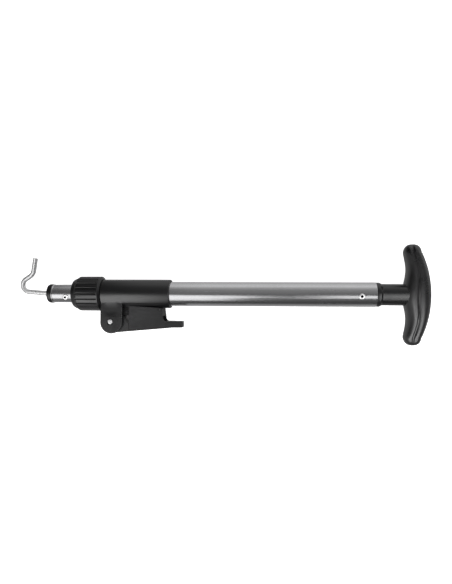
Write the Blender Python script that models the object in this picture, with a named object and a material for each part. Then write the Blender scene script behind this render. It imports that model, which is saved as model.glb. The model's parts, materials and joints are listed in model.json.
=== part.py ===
"""Telescopic hook pole: a thin tube that slides in a wide tube, locked by a collar nut and a cam lever.

The pole lies on its collar nut. +X runs along it towards the T handle, the hook's tip points to +Y,
the lever hangs on the -Y side, and +Z is up. All lengths are in metres.
"""

import math

import bmesh
import bpy
from mathutils import Matrix, Vector

GAP = 0.0003
AXIS_HEIGHT = 0.01988
MIDDLE_SHIFT = 0.00084
ROUND_SIDES = 40

# Finishes: colour, roughness, metallic
TUBE_METAL = ((0.80, 0.80, 0.82), 0.22, 1.0)
WIRE_STEEL = ((0.86, 0.86, 0.87), 0.12, 1.0)
PIN_STEEL = ((0.85, 0.85, 0.86), 0.18, 1.0)
SCREW_STEEL = ((0.70, 0.70, 0.71), 0.28, 1.0)
SPRING_STEEL = ((0.55, 0.55, 0.57), 0.30, 1.0)
RIVET_METAL = ((0.78, 0.78, 0.80), 0.25, 1.0)
BODY_PLASTIC = ((0.035, 0.035, 0.037), 0.42, 0.0)
LEVER_PLASTIC = ((0.030, 0.030, 0.032), 0.45, 0.0)
PLUG_PLASTIC = ((0.020, 0.020, 0.021), 0.38, 0.0)
SHOE_PLASTIC = ((0.12, 0.12, 0.12), 0.55, 0.0)
PALE_NYLON = ((0.72, 0.71, 0.68), 0.50, 0.0)
GRIP_RUBBER = ((0.030, 0.030, 0.031), 0.50, 0.0)

# Tubes
OUTER_RADIUS = 0.0140
OUTER_BORE = 0.0125
OUTER_FRONT = -0.0980
OUTER_REAR = 0.1745
INNER_RADIUS = 0.0105
INNER_BORE = 0.0094
INNER_FRONT = -0.1970
INNER_REAR = 0.1236
LIP_HEIGHT = 0.00025

# Clamp body
BODY_RADIUS = 0.0165
BODY_FRONT = -0.1371
BODY_REAR = -0.0586
GUIDE_RADIUS = 0.0109
SPIGOT_RADIUS = 0.0152
SPIGOT_FRONT = -0.1600
CONE_REAR = -0.1557
CONE_MOUTH_RADIUS = 0.01325
CONE_THROAT_RADIUS = 0.0121
EAR_CENTRE_X = -0.1246
EAR_CENTRE_Y = -0.0326
EAR_RADIUS = 0.0126
EAR_OUTSIDE = 0.0140
EAR_INSIDE = 0.0100
BOSS_REAR = -0.1060
BOSS_BOTTOM = -0.0244
BOSS_HALF_WIDTH = 0.0095

# Collar nut and collet
COLLAR_FRONT = -0.1713
COLLAR_REAR = -0.1376
COLLAR_RADIUS = 0.0199
COLLAR_GROOVE_RADIUS = 0.0188
COLLAR_BORE = 0.0155
COLLAR_PADS = 20
COLLET_FRONT = -0.1648
COLLET_REAR = -0.1560
COLLET_SLOT = 0.0012

# Lever and brake shoe, measured from the lever's pin
PIN_X = -0.1259
PIN_Y = -0.0319
PIN_RADIUS = 0.0030
LEVER_OPEN = math.radians(105)
SHOE_TRAVEL = 0.0014
CAM_TOP = 0.0071
CAM_HALF_WIDTH = 0.0095
TONGUE_HALF_WIDTH = 0.0079
HANDLE_HALF_WIDTH = 0.0103
HANDLE_WALL = 0.0020
HANDLE_FRONT = 0.0204
HANDLE_END = 0.0588
HANDLE_TOP_FRONT = 0.0180
HANDLE_TOP_REAR = 0.0160
TAIL_END = 0.0814
TAIL_TOP = 0.0006
TAIL_BOTTOM = -0.0066
TAIL_HALF_WIDTH = 0.0060
FLOOR_SLOPE = 0.0888
FLOOR_START_Y = -0.0110
CROSS_PIN_X = 0.0560
CROSS_PIN_Y = 0.0139
CROSS_PIN_RADIUS = 0.00075
FLOOR_THICKNESS = 0.0030
SCREW_SPOTS = (0.0265, 0.0355)
SHOE_RADIUS = 0.0052
SHOE_FLANGE_RADIUS = 0.0080
SHOE_FLANGE_TOP = -0.0214
POCKET_RADIUS = 0.0084
POCKET_TOP = -0.0169

# Hook, plug and rivets
HOOK_RADIUS = 0.0028
HOOK_TAIL = -0.1630
HOOK_BENDS = (
    (0.0396, 0.0100, 4.5),
    (0.0238, 0.0080, 141.5),
    (0.0063, 0.0095, -47.5),
    (0.0152, 0.0, 0.0),
)
PLUG_FRONT = -0.2023
PLUG_RADIUS = 0.01095
PLUG_REAR = -0.1720
RIVET_HEAD_RADIUS = 0.0033
RIVET_SHANK_RADIUS = 0.0016
FRONT_RIVET_X = -0.1794
FRONT_RIVET_ANGLE = math.radians(22)
REAR_RIVET_X = 0.1572
REAR_RIVET_ANGLE = math.radians(8)

# T handle
STEM_RADIUS = 0.01215
FLANGE_RADIUS = 0.0137
CORE_FRONT = 0.1305
CORE_SHOULDER = 0.2120
CORE_BAR_X = 0.2200
CORE_BAR_RADIUS = 0.0065
CORE_BAR_HALF_SPAN = 0.0400
GRIP_HALF_SPAN = 0.0570
GRIP_OUTER_X = 0.2356
GRIP_OUTER_ARC = 0.1180
GRIP_INNER_X = 0.2064
GRIP_WAVE = 0.0020
GRIP_WAVE_LENGTH = 0.0560
GRIP_CAP_START = 0.0440
GRIP_MIDDLE_DEPTH = 0.0154
GRIP_END_DEPTH = 0.0095
GRIP_CAP_POWER = 2.6
GRIP_CURVE_END = 0.0480


def clear_scene():
    for old in list(bpy.data.objects):
        bpy.data.objects.remove(old, do_unlink=True)


def make_material(name, finish):
    colour, roughness, metallic = finish
    material = bpy.data.materials.new(name)
    material.use_nodes = True
    shader = material.node_tree.nodes["Principled BSDF"]
    shader.inputs["Base Color"].default_value = (*colour, 1.0)
    shader.inputs["Roughness"].default_value = roughness
    shader.inputs["Metallic"].default_value = metallic
    material.diffuse_color = (*colour, 1.0)
    return material


def make_empty(name, location, parent=None):
    empty = bpy.data.objects.new(name, None)
    bpy.context.scene.collection.objects.link(empty)
    empty.parent = parent
    empty.location = location
    return empty


def make_object(name, bm, finish, parent, location=(0, 0, 0), rotation=(0, 0, 0)):
    """One named object from a bmesh, shaded smooth with its corners kept sharp."""
    bmesh.ops.recalc_face_normals(bm, faces=bm.faces[:])
    mesh = bpy.data.meshes.new(name)
    bm.to_mesh(mesh)
    bm.free()
    mesh.shade_smooth()
    mesh.set_sharp_from_angle(angle=math.radians(32))
    if finish is not None:
        mesh.materials.append(make_material(name, finish))
    made = bpy.data.objects.new(name, mesh)
    bpy.context.scene.collection.objects.link(made)
    made.parent = parent
    made.location = location
    made.rotation_euler = rotation
    return made


def make_tool(name, bm, parent, location=(0, 0, 0), rotation=(0, 0, 0)):
    """A hidden shape that a Boolean cuts away or adds."""
    tool = make_object(name, bm, None, parent, location, rotation)
    tool.hide_render = True
    tool.display_type = "WIRE"
    return tool


def apply_tool(target, tool, operation="DIFFERENCE"):
    modifier = target.modifiers.new(tool.name, "BOOLEAN")
    modifier.operation = operation
    modifier.object = tool


def round_edges(target, width, segments=2):
    modifier = target.modifiers.new("rounded_edges", "BEVEL")
    modifier.width = width
    modifier.segments = segments
    modifier.limit_method = "ANGLE"
    modifier.angle_limit = math.radians(40)


def turned(profile, sides=ROUND_SIDES, axis="X", radius_at=None):
    """Turns (along, radius) pairs about an axis. A profile that never meets the axis closes on itself."""
    bm = bmesh.new()
    rings = []
    for along, radius in profile:
        if radius == 0:
            rings.append([bm.verts.new(on_axis(axis, along, 0, 0))])
            continue
        ring = []
        for side in range(sides):
            angle = 2 * math.pi * side / sides
            if radius_at is not None:
                angle, reach = radius_at(side, along, radius)
            else:
                reach = radius
            point = on_axis(axis, along, reach * math.cos(angle), reach * math.sin(angle))
            ring.append(bm.verts.new(point))
        rings.append(ring)
    pairs = list(zip(rings, rings[1:]))
    if all(len(ring) > 1 for ring in rings):
        pairs.append((rings[-1], rings[0]))
    for first, second in pairs:
        for side in range(sides):
            after = (side + 1) % sides
            corners = [first[side % len(first)], second[side % len(second)]]
            corners += [second[after % len(second)], first[after % len(first)]]
            bm.faces.new(list(dict.fromkeys(corners)))
    return bm


def on_axis(axis, along, across, up):
    if axis == "X":
        return (along, across, up)
    if axis == "Y":
        return (up, along, across)
    return (across, up, along)


def prism(outline, half_width):
    """Extrudes an outline of (x, y) points to both sides of z = 0."""
    bm = bmesh.new()
    near = [bm.verts.new((x, y, half_width)) for x, y in outline]
    far = [bm.verts.new((x, y, -half_width)) for x, y in outline]
    bm.faces.new(near)
    bm.faces.new(far)
    count = len(outline)
    for i in range(count):
        j = (i + 1) % count
        bm.faces.new((near[i], near[j], far[j], far[i]))
    return bm


def arc(centre_x, centre_y, radius, start_deg, end_deg, steps):
    """Points on an arc, from one angle to another."""
    points = []
    for step in range(steps + 1):
        angle = math.radians(start_deg + (end_deg - start_deg) * step / steps)
        points.append((centre_x + radius * math.cos(angle), centre_y + radius * math.sin(angle)))
    return points


def box_outline(left, right, bottom, top):
    return [(left, bottom), (right, bottom), (right, top), (left, top)]


def rod(radius, start, end, axis, sides=24):
    return turned([(start, 0), (start, radius), (end, radius), (end, 0)], sides, axis)


def drill(target, x, angle, radius, inner, outer, parent):
    """A round hole towards the pole's axis, at an angle from +Z towards -Y."""
    name = f"{target.name}_drill"
    tool = make_tool(name, rod(radius, inner, outer, "Z"), parent, (x, 0, 0), (angle, 0, 0))
    apply_tool(target, tool)


def build_tubes(axis):
    edge = 0.0003
    wide = turned(
        [
            (OUTER_FRONT, OUTER_BORE),
            (OUTER_FRONT, OUTER_RADIUS - edge),
            (OUTER_FRONT + edge, OUTER_RADIUS),
            (OUTER_REAR - edge, OUTER_RADIUS),
            (OUTER_REAR, OUTER_RADIUS - edge),
            (OUTER_REAR, OUTER_BORE),
        ]
    )
    outer = make_object("outer_tube", wide, TUBE_METAL, axis)
    hole = RIVET_SHANK_RADIUS + GAP
    drill(outer, REAR_RIVET_X, REAR_RIVET_ANGLE, hole, 0.010, 0.016, axis)
    lip = INNER_RADIUS + LIP_HEIGHT
    thin = turned(
        [
            (INNER_FRONT, INNER_BORE),
            (INNER_FRONT, INNER_RADIUS),
            (INNER_FRONT + 0.0004, lip),
            (INNER_FRONT + 0.0014, lip),
            (INNER_FRONT + 0.0020, INNER_RADIUS),
            (INNER_REAR - edge, INNER_RADIUS),
            (INNER_REAR, INNER_RADIUS - edge),
            (INNER_REAR, INNER_BORE),
        ]
    )
    inner = make_object("inner_tube", thin, TUBE_METAL, axis)
    drill(inner, FRONT_RIVET_X, FRONT_RIVET_ANGLE, hole, 0.007, 0.013, axis)


def ear_outline():
    """Side view of an ear: straight sides that end in a half circle."""
    left = EAR_CENTRE_X - EAR_RADIUS
    right = EAR_CENTRE_X + EAR_RADIUS
    half_circle = arc(EAR_CENTRE_X, EAR_CENTRE_Y, EAR_RADIUS, 180, 360, 20)
    return [(right, -0.004), (left, -0.004), *half_circle]


def build_clamp_body(axis):
    shell = turned(
        [
            (SPIGOT_FRONT, CONE_MOUTH_RADIUS),
            (SPIGOT_FRONT, SPIGOT_RADIUS - 0.0005),
            (SPIGOT_FRONT + 0.0005, SPIGOT_RADIUS),
            (BODY_FRONT, SPIGOT_RADIUS),
            (BODY_FRONT, BODY_RADIUS - 0.0004),
            (BODY_FRONT + 0.0004, BODY_RADIUS),
            (BODY_REAR - 0.0006, BODY_RADIUS),
            (BODY_REAR, BODY_RADIUS - 0.0006),
            (BODY_REAR, OUTER_RADIUS + 2 * GAP),
            (BODY_REAR - 0.0010, OUTER_RADIUS + GAP),
            (OUTER_FRONT - GAP, OUTER_RADIUS + GAP),
            (OUTER_FRONT - GAP, GUIDE_RADIUS),
            (CONE_REAR, GUIDE_RADIUS),
            (CONE_REAR, CONE_THROAT_RADIUS),
        ]
    )
    body = make_object("clamp_body", shell, BODY_PLASTIC, axis)
    ears = make_tool("body_ears", prism(ear_outline(), EAR_OUTSIDE), axis)
    round_edges(ears, 0.0010)
    apply_tool(body, ears, "UNION")
    slot_outline = box_outline(BODY_FRONT - 0.002, BOSS_REAR, -0.060, BOSS_BOTTOM)
    apply_tool(body, make_tool("ear_slot", prism(slot_outline, EAR_INSIDE), axis))
    boss_outline = box_outline(EAR_CENTRE_X, BOSS_REAR, BOSS_BOTTOM, -0.0125)
    boss = make_tool("shoe_boss", prism(boss_outline, BOSS_HALF_WIDTH), axis)
    apply_tool(body, boss, "UNION")
    bore = turned(
        [(SPIGOT_FRONT - 0.01, 0), (SPIGOT_FRONT - 0.01, GUIDE_RADIUS), (-0.090, GUIDE_RADIUS), (-0.090, 0)]
    )
    apply_tool(body, make_tool("guide_bore", bore, axis))
    seat = turned(
        [
            (OUTER_FRONT - GAP, 0),
            (OUTER_FRONT - GAP, OUTER_RADIUS + GAP),
            (BODY_REAR + 0.01, OUTER_RADIUS + GAP),
            (BODY_REAR + 0.01, 0),
        ]
    )
    apply_tool(body, make_tool("tube_seat", seat, axis))
    pocket = turned(
        [
            (-0.030, 0),
            (-0.030, POCKET_RADIUS),
            (POCKET_TOP, POCKET_RADIUS),
            (POCKET_TOP, SHOE_RADIUS + GAP),
            (-0.005, SHOE_RADIUS + GAP),
            (-0.005, 0),
        ],
        40,
        "Y",
    )
    apply_tool(body, make_tool("shoe_pocket", pocket, axis, (PIN_X, 0, 0)))
    pin_hole = rod(PIN_RADIUS + GAP, -0.020, 0.020, "Z", 32)
    apply_tool(body, make_tool("ear_pin_hole", pin_hole, axis, (PIN_X, PIN_Y, 0)))


def collar_radius(side, along, radius):
    """Four sides for each pad: the groove's floor and the pad's two edges."""
    pitch = 2 * math.pi / COLLAR_PADS
    offsets = (-0.065, 0.065, 0.14, 0.86)
    angle = pitch * (side // len(offsets) + offsets[side % len(offsets)])
    drops = (1.0, 1.0, 0.0, 0.0)
    if radius <= COLLAR_GROOVE_RADIUS or along > COLLAR_REAR - 0.0027:
        return angle, radius
    depth = radius - COLLAR_GROOVE_RADIUS
    return angle, radius - depth * drops[side % len(drops)]


def build_collar(axis):
    pivot = make_empty("collar_pivot", (COLLAR_FRONT, 0, 0), axis)
    length = COLLAR_REAR - COLLAR_FRONT
    lip = 0.0045
    profile = [
        (0, INNER_RADIUS + 0.0004),
        (0, 0.0158),
        (0.0010, 0.0167),
        (0.0052, 0.0184),
        (0.0070, COLLAR_RADIUS),
        (length - 0.0030, COLLAR_RADIUS),
        (length - 0.0026, COLLAR_RADIUS),
        (length - 0.0018, COLLAR_RADIUS),
        (length - 0.0003, 0.0176),
        (length, 0.0172),
        (length, COLLAR_BORE),
        (lip, COLLAR_BORE),
        (lip, INNER_RADIUS + 0.0004),
    ]

    def radius_at(side, along, radius):
        return collar_radius(side, along + COLLAR_FRONT, radius)

    nut = turned(profile, COLLAR_PADS * 4, "X", radius_at)
    make_object("collar_nut", nut, BODY_PLASTIC, pivot)
    ring = turned(
        [
            (COLLET_FRONT, INNER_RADIUS + GAP),
            (COLLET_FRONT, 0.0130),
            (COLLET_FRONT + 0.0004, 0.0133),
            (-0.1612, 0.0133),
            (COLLET_REAR, 0.0118),
            (COLLET_REAR, INNER_RADIUS + GAP),
        ],
        48,
    )
    collet = make_object("collet", ring, PALE_NYLON, axis)
    slot = prism(box_outline(COLLET_FRONT - 0.002, COLLET_REAR + 0.002, 0.006, 0.016), COLLET_SLOT / 2)
    apply_tool(collet, make_tool("collet_slot", slot, axis))


def floor_y(x):
    """Height of the lever's underside at x, both from the pin."""
    return FLOOR_START_Y + FLOOR_SLOPE * (x - HANDLE_FRONT)


def cam_outline():
    """Spiral cam round the pin, and the arm that runs back into the hollow handle."""
    drop = SHOE_TRAVEL / LEVER_OPEN
    spiral = []
    steps = 22
    for step in range(steps + 1):
        turn = LEVER_OPEN * step / steps
        radius = CAM_TOP - drop * turn
        angle = math.pi / 2 + turn
        spiral.append((radius * math.cos(angle), radius * math.sin(angle)))
    rear = HANDLE_FRONT - GAP
    arm = [
        (-0.0010, floor_y(-0.0010)),
        (rear, floor_y(rear)),
        (rear, -0.0009),
        (0.0195, -0.0009),
        (0.0140, 0.0061),
        (0.0130, CAM_TOP - 0.0001),
    ]
    return spiral + arm


def tongue_outline():
    """The narrow end of the cam's arm, which lies on the hollow handle's floor."""
    front = HANDLE_FRONT - 0.0020
    rear = HANDLE_FRONT + 0.0190
    lift = FLOOR_THICKNESS + GAP
    return [(front, floor_y(front) + lift), (rear, floor_y(rear) + lift), (rear, -0.0016), (front, -0.0016)]


def handle_outline():
    """Side view of the lever's handle: tall front, straight underside and a flat tail."""
    corner = 0.0016
    top_front = (HANDLE_FRONT + corner, HANDLE_TOP_FRONT - corner)
    top_rear = (HANDLE_END - corner, HANDLE_TOP_REAR - corner)
    fillet = 0.0036
    lean = 0.0012
    tail_start = HANDLE_FRONT + (TAIL_BOTTOM - FLOOR_START_Y) / FLOOR_SLOPE
    points = [(HANDLE_FRONT, floor_y(HANDLE_FRONT)), (tail_start, TAIL_BOTTOM)]
    points += arc(TAIL_END - 0.0008, TAIL_BOTTOM + 0.0008, 0.0008, 270, 360, 3)
    points += arc(TAIL_END - 0.0008, TAIL_TOP - 0.0008, 0.0008, 0, 90, 3)
    points += arc(HANDLE_END + lean + fillet, TAIL_TOP + fillet, fillet, 270, 184, 8)
    points += arc(*top_rear, corner, 0, 86, 4)
    points += arc(*top_front, corner, 94, 180, 4)
    return points


def taper_tail(bm):
    """Narrows the tail towards its end."""
    start = HANDLE_END + 0.0030
    whole = bm.verts[:] + bm.edges[:] + bm.faces[:]
    bmesh.ops.bisect_plane(bm, geom=whole, plane_co=(start, 0, 0), plane_no=(1, 0, 0))
    for vert in bm.verts:
        share = min(1.0, max(0.0, (vert.co.x - start) / (TAIL_END - start)))
        vert.co.z *= 1 - share * (1 - TAIL_HALF_WIDTH / HANDLE_HALF_WIDTH)
    return bm


def build_lever(axis):
    pivot = make_empty("lever_pivot", (PIN_X, PIN_Y, 0), axis)
    cam = make_object("lever_cam", prism(cam_outline(), CAM_HALF_WIDTH), LEVER_PLASTIC, pivot)
    tongue = make_tool("cam_tongue", prism(tongue_outline(), TONGUE_HALF_WIDTH), pivot)
    apply_tool(cam, tongue, "UNION")
    bore = rod(PIN_RADIUS + GAP, -0.012, 0.012, "Z", 32)
    apply_tool(cam, make_tool("cam_bore", bore, pivot))
    block = taper_tail(prism(handle_outline(), HANDLE_HALF_WIDTH))
    handle = make_object("lever_handle", block, LEVER_PLASTIC, pivot)
    round_edges(handle, 0.0007)
    inner = HANDLE_END - HANDLE_WALL - 0.0010
    front = HANDLE_FRONT - 0.0020
    half_hollow = HANDLE_HALF_WIDTH - HANDLE_WALL
    hollow_outline = [
        (front, floor_y(front) + FLOOR_THICKNESS),
        (inner, floor_y(inner) + FLOOR_THICKNESS),
        (inner, 0.0300),
        (front, 0.0300),
    ]
    apply_tool(handle, make_tool("handle_hollow", prism(hollow_outline, half_hollow), pivot))
    window = box_outline(inner - 0.001, HANDLE_END + 0.006, TAIL_TOP, TAIL_TOP + 0.0062)
    apply_tool(handle, make_tool("handle_window", prism(window, half_hollow), pivot))
    saddle = rod(BODY_RADIUS + 0.0005, -0.030, 0.100, "X", 48)
    apply_tool(handle, make_tool("handle_saddle", saddle, pivot, (0, -PIN_Y, 0)))
    spot = (CROSS_PIN_X, CROSS_PIN_Y, 0)
    half = HANDLE_HALF_WIDTH - 0.0001
    cross_pin = rod(CROSS_PIN_RADIUS, -half, half, "Z", 16)
    make_object("handle_cross_pin", cross_pin, SCREW_STEEL, pivot, spot)
    hole = rod(CROSS_PIN_RADIUS + GAP, -0.020, 0.020, "Z", 16)
    apply_tool(handle, make_tool("cross_pin_hole", hole, pivot, spot))
    tilt = math.atan(FLOOR_SLOPE)
    for spot, place in zip(SCREW_SPOTS, ("front", "rear")):
        origin = (spot, floor_y(spot), 0)
        profile = [
            (0.0005, 0),
            (0.0005, 0.0026),
            (0.0008, 0.0029),
            (0.0019, 0.0029),
            (0.0019, 0.0015),
            (0.0066, 0.0015),
            (0.0072, 0.0009),
            (0.0072, 0),
        ]
        name = f"lever_screw_{place}"
        screw = make_object(name, turned(profile, 24, "Y"), SCREW_STEEL, pivot, origin, (0, 0, tilt))
        cross = make_tool(f"{name}_cross", cross_recess(0.0016, 0.0004, 0.0011), pivot, origin, (0, 0, tilt))
        apply_tool(screw, cross)
        well = turned(
            [(-0.002, 0), (-0.002, 0.0032), (0.0022, 0.0032), (0.0022, 0.0018), (0.0076, 0.0018), (0.0076, 0)],
            24,
            "Y",
        )
        tool = make_tool(f"{name}_well", well, pivot, origin, (0, 0, tilt))
        apply_tool(handle, tool)
        apply_tool(cam, tool)


def cross_recess(reach, half_slot, depth):
    """A cross-shaped prism along +Y for a screw head's drive."""
    outline = []
    for quarter in range(4):
        turn = Matrix.Rotation(quarter * math.pi / 2, 2)
        for x, z in ((reach, -half_slot), (reach, half_slot), (half_slot, half_slot)):
            outline.append(tuple(turn @ Vector((x, z))))
    bm = bmesh.new()
    low = [bm.verts.new((x, -0.001, z)) for x, z in outline]
    high = [bm.verts.new((x, depth, z)) for x, z in outline]
    bm.faces.new(low)
    bm.faces.new(high)
    for i in range(len(outline)):
        j = (i + 1) % len(outline)
        bm.faces.new((low[i], low[j], high[j], high[i]))
    return bm


def build_pin(axis):
    groove = PIN_RADIUS - 0.0006
    near = EAR_OUTSIDE - 0.0002
    clip_near = -EAR_OUTSIDE - GAP
    clip_far = clip_near - 0.0008
    profile = [
        (near, 0),
        (near, PIN_RADIUS - 0.0004),
        (near - 0.0004, PIN_RADIUS),
        (clip_near + 0.0001, PIN_RADIUS),
        (clip_near + 0.0001, groove),
        (clip_far - 0.0002, groove),
        (clip_far - 0.0002, PIN_RADIUS),
        (clip_far - 0.0010, PIN_RADIUS),
        (clip_far - 0.0014, PIN_RADIUS - 0.0004),
        (clip_far - 0.0014, 0),
    ]
    spot = (PIN_X, PIN_Y, 0)
    make_object("lever_pin", turned(profile, 32, "Z"), PIN_STEEL, axis, spot)
    clip_face = clip_near - 0.0001
    inside = groove + GAP
    ring = [(clip_face, inside), (clip_face, 0.0052), (clip_far, 0.0052), (clip_far, inside)]
    clip = make_object("pin_clip", turned(ring, 32, "Z"), SPRING_STEEL, axis, spot)
    mouth = make_tool("clip_mouth", prism(box_outline(-0.0020, 0.0020, -0.007, 0), 0.020), axis, spot)
    apply_tool(clip, mouth)


def build_shoe(axis):
    bottom = PIN_Y + CAM_TOP + GAP
    profile = [
        (bottom, 0),
        (bottom, SHOE_FLANGE_RADIUS - 0.0005),
        (bottom + 0.0005, SHOE_FLANGE_RADIUS),
        (SHOE_FLANGE_TOP, SHOE_FLANGE_RADIUS),
        (SHOE_FLANGE_TOP, SHOE_RADIUS),
        (-0.008, SHOE_RADIUS),
        (-0.008, 0),
    ]
    shoe = make_object("brake_shoe", turned(profile, 36, "Y"), SHOE_PLASTIC, axis, (PIN_X, 0, 0))
    seat = rod(INNER_RADIUS + GAP, PIN_X - 0.02, PIN_X + 0.02, "X", ROUND_SIDES)
    apply_tool(shoe, make_tool("shoe_seat", seat, axis))
    wire = 0.0005
    low = SHOE_FLANGE_TOP + wire + GAP
    high = POCKET_TOP - wire - GAP
    turns = 2.25
    steps = 28
    path = []
    for step in range(steps + 1):
        share = step / steps
        angle = 2 * math.pi * turns * share
        radius = SHOE_RADIUS + wire + 2 * GAP
        path.append((radius * math.cos(angle), low + (high - low) * share, radius * math.sin(angle)))
    make_object("shoe_spring", swept(path, wire, 6), SPRING_STEEL, axis, (PIN_X, 0, 0))


def swept(path, radius, sides):
    """A round wire along a path, with flat ends."""
    bm = bmesh.new()
    points = [Vector(p) for p in path]
    normal = None
    rings = []
    for i, point in enumerate(points):
        before = points[max(i - 1, 0)]
        after = points[min(i + 1, len(points) - 1)]
        tangent = (after - before).normalized()
        if normal is None:
            normal = tangent.orthogonal()
        normal = (normal - tangent * normal.dot(tangent)).normalized()
        across = tangent.cross(normal)
        ring = []
        for side in range(sides):
            angle = 2 * math.pi * side / sides
            offset = normal * math.cos(angle) + across * math.sin(angle)
            ring.append(bm.verts.new(point + offset * radius))
        rings.append(ring)
    for first, second in zip(rings, rings[1:]):
        for side in range(sides):
            after = (side + 1) % sides
            bm.faces.new((first[side], first[after], second[after], second[side]))
    bm.faces.new(rings[0])
    bm.faces.new(rings[-1])
    return bm


def hook_path():
    """Centreline of the hook: each entry is a straight length, then a bend's radius and angle."""
    x, y, heading = HOOK_TAIL, 0.0, math.pi
    points = [(x, y, 0)]
    for length, radius, bend_deg in HOOK_BENDS:
        x += length * math.cos(heading)
        y += length * math.sin(heading)
        points.append((x, y, 0))
        bend = -math.radians(bend_deg)
        steps = max(1, round(abs(bend_deg) / 8)) if radius else 0
        for _ in range(steps):
            part = bend / steps
            chord = 2 * radius * math.sin(abs(part) / 2)
            x += chord * math.cos(heading + part / 2)
            y += chord * math.sin(heading + part / 2)
            heading += part
            points.append((x, y, 0))
    return points


def build_hook(axis):
    make_object("hook_wire", swept(hook_path(), HOOK_RADIUS, 16), WIRE_STEEL, axis)
    bore = HOOK_RADIUS + GAP
    rounding = [
        (PLUG_FRONT + 0.0020 * (1 - math.sin(a)), PLUG_RADIUS - 0.0020 * (1 - math.cos(a)))
        for a in (math.radians(d) for d in (90, 67, 45, 22, 0))
    ]
    plug = turned(
        [
            (PLUG_FRONT, bore),
            *rounding,
            (INNER_FRONT - GAP, PLUG_RADIUS),
            (INNER_FRONT - GAP, INNER_BORE - GAP),
            (PLUG_REAR, INNER_BORE - GAP),
            (PLUG_REAR, bore),
        ]
    )
    plug_object = make_object("hook_plug", plug, PLUG_PLASTIC, axis)
    hole = RIVET_SHANK_RADIUS + GAP
    drill(plug_object, FRONT_RIVET_X, FRONT_RIVET_ANGLE, hole, 0.0045, 0.0120, axis)
    washer_front = PLUG_REAR + GAP
    washer_rear = washer_front + 0.0012
    washer = [(washer_front, bore), (washer_front, 0.0060), (washer_rear, 0.0060), (washer_rear, bore)]
    make_object("hook_washer", turned(washer, 32), SCREW_STEEL, axis)
    nut_front = washer_rear + GAP
    nut = make_object("hook_nut", rod(0.0052, nut_front, nut_front + 0.0042, "X", 6), SCREW_STEEL, axis)
    thread = rod(bore, nut_front - 0.001, nut_front + 0.005, "X", 32)
    apply_tool(nut, make_tool("nut_bore", thread, axis))


def build_rivet(name, x, angle, surface, axis):
    """A pop rivet: domed head with a hole in the middle, on a short shank."""
    profile = [
        (surface - 0.0055, 0),
        (surface - 0.0055, RIVET_SHANK_RADIUS - 0.0004),
        (surface - 0.0051, RIVET_SHANK_RADIUS),
        (surface + GAP, RIVET_SHANK_RADIUS),
        (surface + GAP, RIVET_HEAD_RADIUS - 0.0001),
        (surface + GAP + 0.0003, RIVET_HEAD_RADIUS),
        (surface + GAP + 0.0008, RIVET_HEAD_RADIUS - 0.0008),
        (surface + GAP + 0.0011, RIVET_SHANK_RADIUS),
        (surface + GAP + 0.0010, 0.0012),
        (surface + GAP, 0.0010),
        (surface + GAP, 0),
    ]
    make_object(name, turned(profile, 20, "Z"), RIVET_METAL, axis, (x, 0, 0), (angle, 0, 0))


def build_guide(axis):
    """The bush that centres the thin tube's hidden end, between a stop ring and an end cap."""
    outside = OUTER_BORE - GAP
    inside = INNER_RADIUS + GAP
    stop_front = OUTER_FRONT - GAP + 0.2003
    stop_rear = stop_front + 0.0030
    ring = [(stop_front, inside), (stop_front, outside), (stop_rear, outside), (stop_rear, inside)]
    make_object("bush_stop_ring", turned(ring, 32), PLUG_PLASTIC, axis)
    front = stop_rear + GAP
    rear = INNER_REAR
    bush = [
        (front, inside),
        (front, outside - 0.0004),
        (front + 0.0004, outside),
        (rear - 0.0004, outside),
        (rear, outside - 0.0004),
        (rear, inside),
    ]
    make_object("guide_bush", turned(bush, 32), PALE_NYLON, axis)
    face = rear + GAP
    cap = [
        (face - 0.0120, 0),
        (face - 0.0120, INNER_BORE - GAP),
        (face, INNER_BORE - GAP),
        (face, outside - 0.0003),
        (face + 0.0027, outside - 0.0003),
        (face + 0.0027, 0),
    ]
    make_object("bush_end_cap", turned(cap, 32), PLUG_PLASTIC, axis)


def grip_section(y):
    """Middle, half thickness and half depth of the grip at a place along its span."""
    bend = min(abs(y), GRIP_CURVE_END)
    outer = GRIP_OUTER_X - GRIP_OUTER_ARC + math.sqrt(GRIP_OUTER_ARC**2 - bend**2)
    inner = GRIP_INNER_X - GRIP_WAVE * math.cos(2 * math.pi * bend / GRIP_WAVE_LENGTH)
    past = max(0.0, abs(y) - GRIP_CAP_START) / (GRIP_HALF_SPAN - GRIP_CAP_START)
    cap = max(0.0, 1 - past**GRIP_CAP_POWER) ** (1 / GRIP_CAP_POWER)
    depth = GRIP_MIDDLE_DEPTH + (GRIP_END_DEPTH - GRIP_MIDDLE_DEPTH) * (y / GRIP_HALF_SPAN) ** 2
    return (outer + inner) / 2, cap * (outer - inner) / 2, cap * depth


def grip_stations():
    """Places along the span: even along the bar, closer together round each end."""
    straight = [GRIP_CAP_START * i / 9 for i in range(10)]
    end = GRIP_HALF_SPAN - GRIP_CAP_START
    capped = [GRIP_CAP_START + end * math.sin(math.radians(a)) for a in (20, 38, 54, 67, 77, 84)]
    half = straight + capped
    return [-y for y in reversed(half[1:])] + half


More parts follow.
